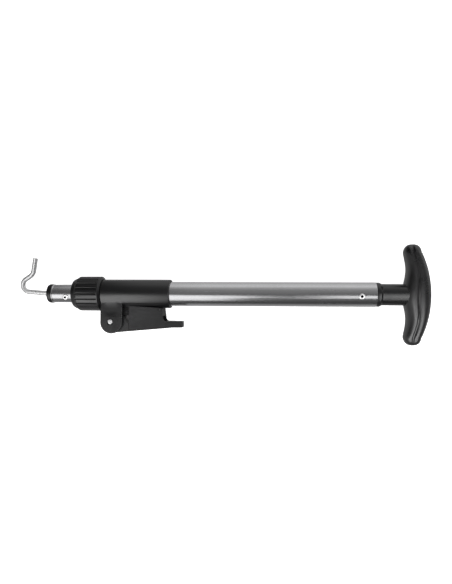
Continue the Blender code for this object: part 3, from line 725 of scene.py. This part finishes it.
def ear_mesh(sign):
    """One ear: its outside follows ear_height, its rim is rounded, its inside is flat.

    Its rows end just short of the tip, and its root is tucked in under the body's skin.
    """
    heights = [EAR_TOP_Y - EAR_STRAIGHT * i / 26 for i in range(27)]
    heights += [EAR_CENTRE_Y - EAR_RADIUS * math.sin(math.radians(90 * i / 18)) for i in range(1, 18)]
    heights.append(EAR_CENTRE_Y - EAR_RADIUS * 0.9995)
    across = 30
    bm = bmesh.new()
    outside = []
    inside = []
    for y in heights:
        tucked = EAR_TUCK * step_between(EAR_TOP_Y - EAR_TUCK_RISE, EAR_TOP_Y, y)
        raised = []
        flat = []
        for i in range(across + 1):
            x = EAR_CENTRE_X + ear_half_length(y) * math.sin(math.pi * (i / across - 0.5))
            z = ear_height(x, y) - ear_rim_drop(x, y) - tucked
            raised.append(bm.verts.new((x, y, sign * z)))
            flat.append(bm.verts.new((x, y, sign * (EAR_INSIDE - 0.0010))))
        outside.append(raised)
        inside.append(flat)
    for grid in (outside, inside):
        for low, high in zip(grid, grid[1:]):
            for i in range(across):
                bm.faces.new((low[i], low[i + 1], high[i + 1], high[i]))
    join_rings(bm, [edge_of(outside), edge_of(inside)])
    return bm


def make_body():
    """The clamp's sleeve and spigot, with two ears, the shoe's block between them, and its bores."""
    shell = [
        (SPIGOT_FRONT, CONE_MOUTH_RADIUS, 0.0002),
        (SPIGOT_FRONT, SPIGOT_RADIUS, 0.0006),
        (BODY_FRONT, SPIGOT_RADIUS, 0),
        (BODY_FRONT, BODY_RADIUS, 0.0006),
        (BODY_REAR, BODY_RADIUS, 0.0014),
        (BODY_REAR, OUTER_RADIUS + 2 * GAP, 0.0004),
        (BODY_REAR - 0.0010, OUTER_RADIUS + GAP, 0),
        (OUTER_FRONT - GAP, OUTER_RADIUS + GAP, 0),
        (OUTER_FRONT - GAP, GUIDE_RADIUS, 0),
        (CONE_REAR, GUIDE_RADIUS, 0),
        (CONE_REAR, CONE_THROAT_RADIUS, 0),
    ]
    body = placed(link("body", turned(rounded_profile(shell))))
    for sign in (1, -1):
        cut(body, ear_mesh(sign), operation="UNION")
    ear_front = EAR_CENTRE_X - EAR_RADIUS
    ear_rear = EAR_CENTRE_X + EAR_RADIUS
    bridge = box_outline(ear_front + BRIDGE_INSET, ear_rear - BRIDGE_INSET, BRIDGE_BOTTOM, SUNK_Y)
    cut(body, prism(bridge, EAR_INSIDE + 0.001), operation="UNION")
    boss = prism(box_outline(EAR_CENTRE_X, BOSS_REAR, BOSS_BOTTOM, SUNK_Y), BOSS_HALF_WIDTH)
    cut(body, drafted(boss, BOSS_DRAFT, BOSS_BOTTOM), operation="UNION")
    slot = box_outline(BODY_FRONT - 0.002, ear_rear + 0.002, EAR_SLOT_BOTTOM, BOSS_BOTTOM + 0.0004)
    cut(body, prism(slot, EAR_INSIDE))
    cut(body, rod(GUIDE_RADIUS, SPIGOT_FRONT - 0.010, -0.090, "X", ROUND))
    pocket = [
        (-0.030, 0),
        (-0.030, POCKET_RADIUS),
        (POCKET_TOP, POCKET_RADIUS),
        (POCKET_TOP, SHOE_RADIUS + GAP),
        (-0.005, SHOE_RADIUS + GAP),
        (-0.005, 0),
    ]
    cut(body, turned(pocket, 64, "Y"), (PIN_X, 0, 0))
    cut(body, rod(PIN_RADIUS + GAP, -THROUGH, THROUGH, "Z", 64), (PIN_X, PIN_Y, 0))
    finished(body, BODY, "pole", "clamp_body", 34)


def make_collar():
    """The collar nut: a cone at its front, pads with grooves between them, and a plain band behind."""
    length = COLLAR_REAR - COLLAR_FRONT
    mouth = INNER_RADIUS + 0.0004
    pads_end = length - COLLAR_REAR_BAND
    coarse = [
        (0, mouth, 0.0003),
        (0, COLLAR_NOSE_RADIUS, 0.0012),
        (0.0052, 0.0184, 0.0008),
        (PAD_START, COLLAR_RADIUS, 0.0012),
        (pads_end - 0.0002, COLLAR_RADIUS, 0),
        (pads_end, COLLAR_RADIUS, 0),
        (length - 0.0018, COLLAR_RADIUS, 0.0003),
        (length - 0.0003, 0.0176, 0.0003),
        (length, 0.0172, 0.0002),
        (length, COLLAR_BORE, 0.0002),
        (COLLAR_MOUTH_DEPTH, COLLAR_BORE, 0),
        (COLLAR_MOUTH_DEPTH, mouth, 0.0003),
    ]
    pitch = 2 * math.pi / COLLAR_PADS

    def radius_at(angle, along, radius):
        """Sinks the grooves and rounds the pads. A place is 0 in a groove's middle and 0.5 in a pad's."""
        if radius <= COLLAR_GROOVE_RADIUS - 0.0004 or along > pads_end - 0.0001:
            return radius
        place = abs((angle / pitch + 0.5) % 1.0 - 0.5)
        depth = min(GROOVE_DEPTH, radius - COLLAR_GROOVE_RADIUS + 0.0005)
        in_groove = 1 - step_between(GROOVE_HALF_WIDTH, GROOVE_HALF_WIDTH + GROOVE_WALL, place)
        edge = step_between(PAD_START - 0.0020, PAD_START, along)
        crown = PAD_CROWN * max(0.0, 0.8 - 2 * place) * edge
        return radius - depth * in_groove - crown * (1 - in_groove)

    shape = turned(rounded_profile(coarse, 5), COLLAR_PADS * 24, "X", radius_at)
    nut = placed(link("nut", shape), (COLLAR_FRONT, 0, 0))
    finished(nut, COLLAR, "collar", "collar_nut", 40)


def floor_y(x):
    """Height of the handle's sloping floor, counted from the lever pin."""
    return FLOOR_START_Y + FLOOR_SLOPE * (x - HANDLE_FRONT)


def cam_outline():
    """Side view of the cam and its arm. The spiral falls by the shoe's travel as the lever opens."""
    fall = SHOE_TRAVEL / LEVER_OPEN
    spiral = []
    steps = 60
    for step in range(steps + 1):
        turn = LEVER_OPEN * step / steps
        radius = CAM_TOP - fall * turn
        angle = math.pi / 2 + turn
        spiral.append((radius * math.cos(angle), radius * math.sin(angle)))
    heel = -0.0010
    rear = HANDLE_FRONT - GAP
    arm_top = -0.0009
    arm = [
        (heel, floor_y(heel)),
        (rear, floor_y(rear)),
        (rear, arm_top),
        (0.0195, arm_top),
        (0.0140, 0.0061),
        (0.0130, CAM_TOP - 0.0001),
    ]
    return spiral + arm


def handle_outline():
    """Side view of the handle: a sloping floor, a low tail and two rounded upper corners."""
    corner = 0.0016
    fillet = 0.0036
    lean = 0.0012
    tip = 0.0008
    tail_start = HANDLE_FRONT + (TAIL_BOTTOM - FLOOR_START_Y) / FLOOR_SLOPE
    points = [(HANDLE_FRONT, floor_y(HANDLE_FRONT)), (tail_start, TAIL_BOTTOM)]
    points += arc(TAIL_END - tip, TAIL_BOTTOM + tip, tip, 270, 360, 6)
    points += arc(TAIL_END - tip, TAIL_TOP - tip, tip, 0, 90, 6)
    points += arc(HANDLE_END + lean + fillet, TAIL_TOP + fillet, fillet, 270, 184, 18)
    points += arc(HANDLE_END - corner, HANDLE_TOP_REAR - corner, corner, 0, 86, 8)
    points += arc(HANDLE_FRONT + corner, HANDLE_TOP_FRONT - corner, corner, 94, 180, 8)
    return points


def cross_recess(reach, half_slot, depth):
    """The cross-shaped driver recess in a screw's head."""
    outline = []
    for quarter in range(4):
        turn = Matrix.Rotation(quarter * math.pi / 2, 2)
        for x, z in ((reach, -half_slot), (reach, half_slot), (half_slot, half_slot)):
            outline.append(tuple(turn @ Vector((x, z))))
    bm = bmesh.new()
    low = [bm.verts.new((x, -0.001, z)) for x, z in outline]
    high = [bm.verts.new((x, depth, z)) for x, z in outline]
    return capped(bm, low, high)


def start_cam(pivot, front):
    """The cam and its arm, with the tongue that lies on the handle's floor."""
    cam = placed(link("cam", prism(cam_outline(), CAM_HALF_WIDTH)), pivot)
    rear = HANDLE_FRONT + 0.0190
    top = -0.0016
    lift = FLOOR_THICKNESS + GAP
    tongue = [(front, floor_y(front) + lift), (rear, floor_y(rear) + lift), (rear, top), (front, top)]
    cut(cam, prism(tongue, TONGUE_HALF_WIDTH), pivot, operation="UNION")
    cut(cam, rod(PIN_RADIUS + GAP, -0.012, 0.012, "Z", 64), pivot)
    return cam


def start_handle(pivot, front):
    """The handle: a tapered block, hollowed from above, with a window behind, cut to clear the body."""
    block = prism(handle_outline(), HANDLE_HALF_WIDTH)
    taper_start = HANDLE_END + 0.0030
    taper = TAIL_END - taper_start
    for step in range(15):
        whole = block.verts[:] + block.edges[:] + block.faces[:]
        place = (taper_start + taper * step / 14, 0, 0)
        bmesh.ops.bisect_plane(block, geom=whole, plane_co=place, plane_no=(1, 0, 0))
    for vert in block.verts:
        share = min(1.0, max(0.0, (vert.co.x - taper_start) / taper))
        vert.co.z *= 1 - share * (1 - TAIL_HALF_WIDTH / HANDLE_HALF_WIDTH)
    handle = placed(link("handle", drafted(block, HANDLE_DRAFT, TAIL_BOTTOM)), pivot)
    soften(handle, 0.0008, 4)
    rear = HANDLE_END - HANDLE_WALL - 0.0010
    above = 0.0300
    half_hollow = HANDLE_HALF_WIDTH - HANDLE_WALL
    hollow = [
        (front, floor_y(front) + FLOOR_THICKNESS),
        (rear, floor_y(rear) + FLOOR_THICKNESS),
        (rear, above),
        (front, above),
    ]
    cut(handle, prism(hollow, half_hollow), pivot)
    window = box_outline(rear - 0.001, HANDLE_END + 0.006, TAIL_TOP, TAIL_TOP + 0.0062)
    cut(handle, prism(window, half_hollow), pivot)
    cut(handle, rod(BODY_RADIUS + 0.0005, -0.030, 0.100, "X", 160), (PIN_X, 0, 0))
    return handle


def make_cross_pin(spot):
    """The short pin across the handle's upper rear corner."""
    half = HANDLE_HALF_WIDTH - 0.0001
    profile = [
        (-half, 0, 0),
        (-half, CROSS_PIN_RADIUS, 0.0002),
        (half, CROSS_PIN_RADIUS, 0.0002),
        (half, 0, 0),
    ]
    cross_pin = placed(link("cross_pin", turned(rounded_profile(profile), 32, "Z")), spot)
    finished(cross_pin, CROSS_PIN, "lever", "handle_cross_pin")


def make_screw(node, origin, lean):
    """A flat-headed screw that goes up through the handle's floor."""
    profile = [
        (0.0004, 0, 0),
        (0.0005, SCREW_HEAD_RADIUS - 0.0005, 0.0004),
        (0.0009, SCREW_HEAD_RADIUS, 0.0002),
        (SCREW_SEAT, SCREW_HEAD_RADIUS, 0.0001),
        (SCREW_SEAT, SCREW_SHANK_RADIUS, 0.0001),
        (SCREW_TIP - 0.0006, SCREW_SHANK_RADIUS, 0.0002),
        (SCREW_TIP, SCREW_SHANK_RADIUS - 0.0006, 0.0002),
        (SCREW_TIP, 0, 0),
    ]
    screw = placed(link("screw", turned(rounded_profile(profile), 48, "Y")), origin, lean)
    cut(screw, cross_recess(0.0016, 0.0004, 0.0011), origin, lean)
    finished(screw, SCREW, "lever", node)


def screw_well():
    """The stepped hole for a screw's head and shank."""
    head = SCREW_HEAD_RADIUS + GAP
    shank = SCREW_SHANK_RADIUS + GAP
    seat = SCREW_SEAT + GAP
    mouth = -0.002
    bottom = SCREW_TIP + 0.0004
    profile = [(mouth, 0), (mouth, head), (seat, head), (seat, shank), (bottom, shank), (bottom, 0)]
    return turned(profile, 40, "Y")


def make_lever():
    """The cam and the handle, with the cross pin and the two screws that hold them together."""
    pivot = (PIN_X, PIN_Y, 0)
    front = HANDLE_FRONT - 0.0020
    cam = start_cam(pivot, front)
    handle = start_handle(pivot, front)
    spot = (PIN_X + CROSS_PIN_X, PIN_Y + CROSS_PIN_Y, 0)
    cut(handle, rod(CROSS_PIN_RADIUS + GAP, -THROUGH, THROUGH, "Z", 24), spot)
    make_cross_pin(spot)
    lean = (0, 0, math.atan(FLOOR_SLOPE))
    for along, node in zip(SCREW_SPOTS, ("lever_screw_front", "lever_screw_rear")):
        origin = (PIN_X + along, PIN_Y + floor_y(along), 0)
        make_screw(node, origin, lean)
        for piece in (handle, cam):
            cut(piece, screw_well(), origin, lean)
    soften(cam, 0.0004, 2)
    finished(cam, LEVER, "lever", "lever_cam", 34, flat_sides=True)
    finished(handle, LEVER, "lever", "lever_handle", 34, flat_sides=True)


def make_pin():
    """The lever pin: its near end is a little thinner, and the clip's groove is at its far end."""
    near = EAR_OUTSIDE - 0.0002
    near_radius = PIN_RADIUS - 0.0003
    groove = PIN_RADIUS - 0.0006
    groove_near = -EAR_OUTSIDE - GAP + 0.0001
    groove_far = groove_near - 0.0011
    tail = groove_far - 0.0012
    profile = [
        (near, 0, 0),
        (near - 0.0001, near_radius, 0.0004),
        (near - 0.0012, near_radius, 0),
        (near - 0.0015, PIN_RADIUS, 0),
        (groove_near, PIN_RADIUS, 0.0001),
        (groove_near, groove, 0),
        (groove_far, groove, 0),
        (groove_far, PIN_RADIUS, 0.0001),
        (tail, PIN_RADIUS, 0.0005),
        (tail, 0, 0),
    ]
    pin = placed(link("pin", turned(rounded_profile(profile), 72, "Z")), (PIN_X, PIN_Y, 0))
    finished(pin, PIN, "pole", "lever_pin", 40)


def hook_path():
    """The middle line of the wire, from its tail: straight stretches with a bend after each."""
    x, y, heading = HOOK_TAIL, 0.0, math.pi
    points = [(x, y, 0)]
    for length, radius, bend_deg in HOOK_BENDS:
        parts = max(1, round(length / 0.004))
        for _ in range(parts):
            x += length / parts * math.cos(heading)
            y += length / parts * math.sin(heading)
            points.append((x, y, 0))
        bend = -math.radians(bend_deg)
        steps = max(1, round(abs(bend_deg) / 3)) if radius else 0
        for _ in range(steps):
            part = bend / steps
            chord = 2 * radius * math.sin(abs(part) / 2)
            x += chord * math.cos(heading + part / 2)
            y += chord * math.sin(heading + part / 2)
            heading += part
            points.append((x, y, 0))
    return points


def make_hook():
    """The wire hook and the plug that holds it in the thin tube's end."""
    wire = placed(link("wire", swept(hook_path(), HOOK_RADIUS, 48)))
    finished(wire, HOOK, "inner", "hook_wire", 40)
    bore = HOOK_RADIUS + GAP
    shoulder = INNER_FRONT - GAP
    profile = [
        (PLUG_FRONT, bore, 0.0003),
        (PLUG_FRONT, PLUG_RADIUS, 0.0028),
        (shoulder, PLUG_RADIUS, 0.0002),
        (shoulder, INNER_BORE - GAP, 0),
        (PLUG_REAR, INNER_BORE - GAP, 0.0002),
        (PLUG_REAR, bore, 0),
    ]
    plug = placed(link("plug", turned(rounded_profile(profile, 8))))
    cut_rivet_hole(plug, FRONT_RIVET_X, FRONT_RIVET_ANGLE, 0.0045, 0.0120)
    finished(plug, PLUG, "inner", "hook_plug")


def make_rivet(node, x, angle, surface, body):
    """A blind rivet: a shallow domed flange round a deep hole, on a short shank. Its material paints the
    hole's shade near black.
    """
    top = surface + GAP
    end = surface - RIVET_LENGTH
    hole_end = top - 0.0024
    profile = [
        (end, 0, 0),
        (end, RIVET_SHANK_RADIUS, 0.0004),
        (top, RIVET_SHANK_RADIUS, 0.0001),
        (top, RIVET_HEAD_RADIUS, 0.0001),
        (top + 0.0003, RIVET_HEAD_RADIUS - 0.0001, 0.0002),
        (top + 0.0008, RIVET_HEAD_RADIUS - 0.0009, 0.0004),
        (top + 0.0009, 0.0016, 0.0002),
        (top + 0.0007, 0.0013, 0.0001),
        (hole_end, 0.0010, 0.0001),
        (hole_end, 0, 0),
    ]
    shape = turned(rounded_profile(profile), 64, "Z")
    rivet = placed(link("rivet", shape), (x, 0, 0), (angle, 0, 0))
    finished(rivet, RIVET, body, node, 40)


def grip_section(y):
    """Middle, half thickness and half depth of the grip at a place along its span."""
    bend = min(abs(y), GRIP_CURVE_END)
    outer = GRIP_OUTER_X - GRIP_OUTER_ARC + math.sqrt(GRIP_OUTER_ARC**2 - bend**2)
    inner = GRIP_INNER_X - GRIP_WAVE * math.cos(2 * math.pi * bend / GRIP_WAVE_LENGTH)
    past = max(0.0, abs(y) - GRIP_CAP_START) / (GRIP_HALF_SPAN - GRIP_CAP_START)
    cap = max(0.0, 1 - past**GRIP_CAP_POWER) ** (1 / GRIP_CAP_POWER)
    depth = GRIP_MIDDLE_DEPTH + (GRIP_END_DEPTH - GRIP_MIDDLE_DEPTH) * (y / GRIP_HALF_SPAN) ** 2
    return (outer + inner) / 2, cap * (outer - inner) / 2, cap * depth


def crease_depth(across, y, thick):
    """Depth of the crease in the grip's side. It lies further forward and is deeper near the ends."""
    middle = CREASE_PLACE + CREASE_SHIFT * min(1.0, abs(y) / CREASE_SHIFT_SPAN)
    profile = math.exp(-((abs(across - middle) / CREASE_WIDTH) ** 1.4))
    deeper = 1 + CREASE_DEEPENING * min(1.0, abs(y) / CREASE_DEEPENING_SPAN) ** 2
    return CREASE_DEPTH * profile * thick / CREASE_FULL_THICKNESS * deeper


def make_grip():
    """The crescent grip: rings along its span, closer together round each end."""
    straight = [GRIP_CAP_START * i / 44 for i in range(45)]
    end = GRIP_HALF_SPAN - GRIP_CAP_START
    half = straight + [GRIP_CAP_START + end * math.sin(math.radians(90 * i / 26)) for i in range(1, 26)]
    power = GRIP_SQUARENESS
    bm = bmesh.new()
    rings = []
    for y in [-y for y in reversed(half[1:])] + half:
        middle, thick, deep = grip_section(y)
        ring = []
        for angle in around(96):
            c, s = math.cos(angle), math.sin(angle)
            square = (abs(c) ** power + abs(s) ** power) ** (-1 / power)
            across = c * square
            crease = math.copysign(crease_depth(across, y, thick), s) * min(1.0, abs(s) * 2)
            ring.append(bm.verts.new((middle + thick * across, y, deep * s * square - crease)))
        rings.append(ring)
    join_rings(bm, rings)
    for ring, y in ((rings[0], -GRIP_HALF_SPAN), (rings[-1], GRIP_HALF_SPAN)):
        join_rings(bm, [ring, [bm.verts.new((grip_section(y)[0], y, 0))]])
    grip = placed(link("grip", bm))
    cut(grip, rod(STEM_RADIUS + GAP, 0.190, CORE_SHOULDER + GAP, "X", ROUND))
    reach = CORE_BAR_HALF_SPAN + GAP
    cut(grip, rod(CORE_BAR_RADIUS + GAP, -reach, reach, "Y"), (CORE_BAR_X, 0, 0))
    cut(grip, rod(CORE_NECK_RADIUS + GAP, CORE_NECK_START, CORE_BAR_X, "X"))
    finished(grip, GRIP, "pole", "handle_grip", 40)


def make_core():
    """The flanged stem: a plug in the wide tube, and a neck and a bar inside the grip."""
    plug = OUTER_BORE - GAP
    flange = OUTER_REAR + GAP
    profile = [
        (CORE_FRONT, 0, 0),
        (CORE_FRONT, plug, 0.0008),
        (flange, plug, 0),
        (flange, FLANGE_RADIUS, 0.0004),
        (flange + 0.0037, FLANGE_RADIUS, 0.0007),
        (flange + 0.0060, STEM_RADIUS, 0.0012),
        (CORE_SHOULDER, STEM_RADIUS, 0),
        (CORE_SHOULDER, 0, 0),
    ]
    core = placed(link("core", turned(rounded_profile(profile))))
    bar = rod(CORE_BAR_RADIUS, -CORE_BAR_HALF_SPAN, CORE_BAR_HALF_SPAN, "Y")
    cut(core, bar, (CORE_BAR_X, 0, 0), operation="UNION")
    cut(core, rod(CORE_NECK_RADIUS, CORE_NECK_START, CORE_BAR_X, "X"), operation="UNION")
    cut_rivet_hole(core, REAR_RIVET_X, REAR_RIVET_ANGLE, 0.0078, 0.0150)
    finished(core, CORE, "pole", "handle_core")


def dress(node, material):
    """A carried-over CAD node gets its finish through its own material slots."""
    mesh = frame["nodes"][node].data
    if not mesh.materials:
        mesh.materials.append(material)
    for i in range(len(mesh.materials)):
        mesh.materials[i] = material


make_tubes()
make_body()
make_collar()
make_lever()
make_pin()
make_hook()
make_rivet("front_rivet", FRONT_RIVET_X, FRONT_RIVET_ANGLE, INNER_RADIUS, "inner")
make_rivet("rear_rivet", REAR_RIVET_X, REAR_RIVET_ANGLE, OUTER_RADIUS, "pole")
make_core()
make_grip()
for node, material in (
    ("collet", NYLON),
    ("guide_bush", NYLON),
    ("brake_shoe", SHOE),
    ("shoe_spring", SPRING),
    ("pin_clip", SPRING),
    ("hook_washer", SCREW),
    ("hook_nut", SCREW),
    ("bush_stop_ring", PLUG),
    ("bush_end_cap", PLUG),
):
    dress(node, material)


# Floor, backdrop, light and camera

def glowing_paper(name):
    """White paper that glows evenly, so that it shows no shading of its own."""
    n = Finish(name)
    n.set(Emission_Color=(1, 1, 1, 1), Emission_Strength=1.0)
    return n


def make_floor():
    """A wide sheet just below the object."""
    bm = bmesh.new()
    reach = 3.0
    corners = ((-reach, -reach), (reach, -reach), (reach, reach), (-reach, reach))
    bm.faces.new([bm.verts.new((x, y, -0.0004)) for x, y in corners])
    floor = link("studio_floor", bm)
    n = glowing_paper("floor_paper")
    fibre = n.noise(140.0, 4.0, 0.6)
    n.colour(n.blend(n.ranged(fibre, 0.0, 1.0), (0.90, 0.90, 0.90), (0.94, 0.94, 0.94)))
    n.set(Roughness=0.9)
    floor.data.materials.append(n.material)
    floor.visible_glossy = False
    floor.visible_diffuse = False


def make_backdrop():
    """A pale shell far behind everything, seen only where the camera looks past the floor."""
    bm = bmesh.new()
    bmesh.ops.create_icosphere(bm, subdivisions=4, radius=3.2)
    shell = link("studio_backdrop", bm)
    n = glowing_paper("backdrop_paper")
    n.set(Base_Color=(0, 0, 0, 1))
    shell.data.materials.append(n.material)
    for ray in ("diffuse", "glossy", "transmission", "shadow", "volume_scatter"):
        setattr(shell, f"visible_{ray}", False)


def light_ramp(n, share, bands):
    """Grey levels by the angle round the pole: 0 degrees is straight up, 90 the lever's side."""
    ramp = n.add("ShaderNodeValToRGB")
    n.join(share, ramp.inputs["Fac"])
    stops = ramp.color_ramp.elements
    stops.remove(stops[0])
    for i, (angle, level) in enumerate(bands):
        position = (angle + 180) / 360
        stop = stops[0] if i == 0 else stops.new(position)
        stop.position = position
        stop.color = (level, level, level, 1)
    return ramp.outputs["Color"]


# Angle round the pole and grey level, for most of the sky and for its part beyond the hook's end
MAIN_BANDS = (
    (-180, 0.20),
    (-165, 0.50),
    (-120, 0.60),
    (-80, 0.90),
    (-62, 0.52),
    (-50, 0.36),
    (-37, 0.26),
    (-20, 0.21),
    (-8, 0.17),
    (3, 0.07),
    (12, 0.10),
    (45, 0.10),
    (72, 0.03),
    (98, 0.03),
    (112, 0.32),
    (159, 0.58),
    (180, 0.20),
)
HOOK_END_BANDS = (
    (-180, 0.50),
    (-138, 0.36),
    (-111, 0.09),
    (-92, 0.03),
    (-75, 0.03),
    (-33, 0.02),
    (-18, 0.03),
    (-6, 0.11),
    (5, 0.30),
    (57, 0.55),
    (72, 0.50),
    (88, 0.30),
    (107, 0.27),
    (132, 0.45),
    (180, 0.50),
)


def make_studio_light():
    """Soft light from all round, in bands as big soft boxes would give, unlike at the hook's end."""
    world = bpy.data.worlds.new("studio")
    bpy.context.scene.world = world
    n = Nodes(world, "Generated")
    parts = n.add("ShaderNodeSeparateXYZ")
    n.join(n.place, parts.inputs[0])
    turn = n.maths("ARCTAN2", n.maths("MULTIPLY", parts.outputs["Y"], -1.0), parts.outputs["Z"])
    share = n.ranged(turn, 0.0, 1.0, -math.pi, math.pi)
    main = light_ramp(n, share, MAIN_BANDS)
    hook_end = light_ramp(n, share, HOOK_END_BANDS)
    toward_hook = n.ranged(parts.outputs["X"], 0.0, 1.0, -0.31, -0.40)
    background = n.tree.nodes["Background"]
    n.join(n.blend(toward_hook, main, hook_end), background.inputs["Color"])


def soft_box(name, centre, size, aim, power, lights=None):
    """A rectangular lamp. With a test, it lights only the pieces whose material passes it."""
    data = bpy.data.lights.new(name, "AREA")
    data.shape = "RECTANGLE"
    data.size, data.size_y = size
    data.energy = power
    lamp = bpy.data.objects.new(name, data)
    bpy.context.scene.collection.objects.link(lamp)
    lamp.location = centre
    way = Vector(aim) - Vector(centre)
    lamp.rotation_mode = "QUATERNION"
    lamp.rotation_quaternion = way.to_track_quat("-Z", "Y")
    lamp.visible_camera = False
    if lights is None:
        return
    lit = bpy.data.collections.new("lit_by_" + name)
    for piece in bpy.context.scene.objects:
        if piece.type == "MESH" and lights(piece.active_material):
            lit.objects.link(piece)
    lamp.light_linking.receiver_collection = lit


def is_other(material):
    """All that is not a tube, the hook or the grip: the black plastic and the small metal parts."""
    return material not in (TUBE, INNER_TUBE, HOOK, GRIP)


def is_grip(material):
    """The grip's rubber alone."""
    return material == GRIP


def is_hook(material):
    """The hook's wire alone."""
    return material == HOOK


def make_camera():
    """The camera, where the photograph's outline of the object puts it."""
    data = bpy.data.cameras.new("camera")
    data.lens = CAMERA_LENS
    data.sensor_width = 36.0
    data.shift_x, data.shift_y = CAMERA_SHIFT
    data.clip_start = 0.05
    data.clip_end = 20.0
    camera = bpy.data.objects.new("camera", data)
    bpy.context.scene.collection.objects.link(camera)
    forward = Vector((-math.sin(CAMERA_YAW), 0, -math.cos(CAMERA_YAW)))
    level = Vector((math.cos(CAMERA_YAW), 0, -math.sin(CAMERA_YAW)))
    upright = Vector((0, 1, 0))
    right = level * math.cos(CAMERA_ROLL) + upright * math.sin(CAMERA_ROLL)
    up = upright * math.cos(CAMERA_ROLL) - level * math.sin(CAMERA_ROLL)
    camera.matrix_world = Matrix((right, up, -forward)).transposed().to_4x4()
    camera.location = ORIGIN + Vector(CAMERA_AIM) - forward * CAMERA_DISTANCE
    bpy.context.scene.camera = camera


make_floor()
make_backdrop()
make_studio_light()
# Each has its name, centre, size, the place that it points at, and power. The keys light every piece.
# Their highlights on the wide tube are kept apart, for the dark wedge that the photograph shows there.
soft_box("key_left", (-0.488, -0.58, 1.045), (0.725, 0.70), (-0.488, 0, 0.02), 2.19)
soft_box("key_middle", (-0.085, -0.613, 1.026), (0.08, 0.30), (-0.085, -0.033, 0.001), 0.115)
soft_box("key_right", (0.478, -0.4726, 1.1058), (0.545, 0.533), (0.478, 0.1074, 0.0808), 1.16)
soft_box("key_hook_end", (-0.68, -0.965, 0.696), (1.10, 0.37), (-0.68, 0, 0.02), 1.5)
soft_box("sheen_left", (-0.68, -0.80, 0.98), (0.64, 1.60), (-0.68, 0, 0.02), 7.6, is_other)
soft_box("sheen_right", (1.00, -0.55, 1.12), (0.95, 1.60), (1.00, 0, 0.02), 15.0, is_other)
soft_box("sheen_grip", (0.45, -0.80, 0.98), (2.10, 1.60), (0.45, 0, 0.02), 25.0, is_grip)
soft_box("glint", (-0.42, 0.02, 1.10), (0.34, 0.60), (-0.24, 0, 0.02), 1.3, is_hook)
make_camera()
bpy.context.scene.view_settings.view_transform = "Standard"
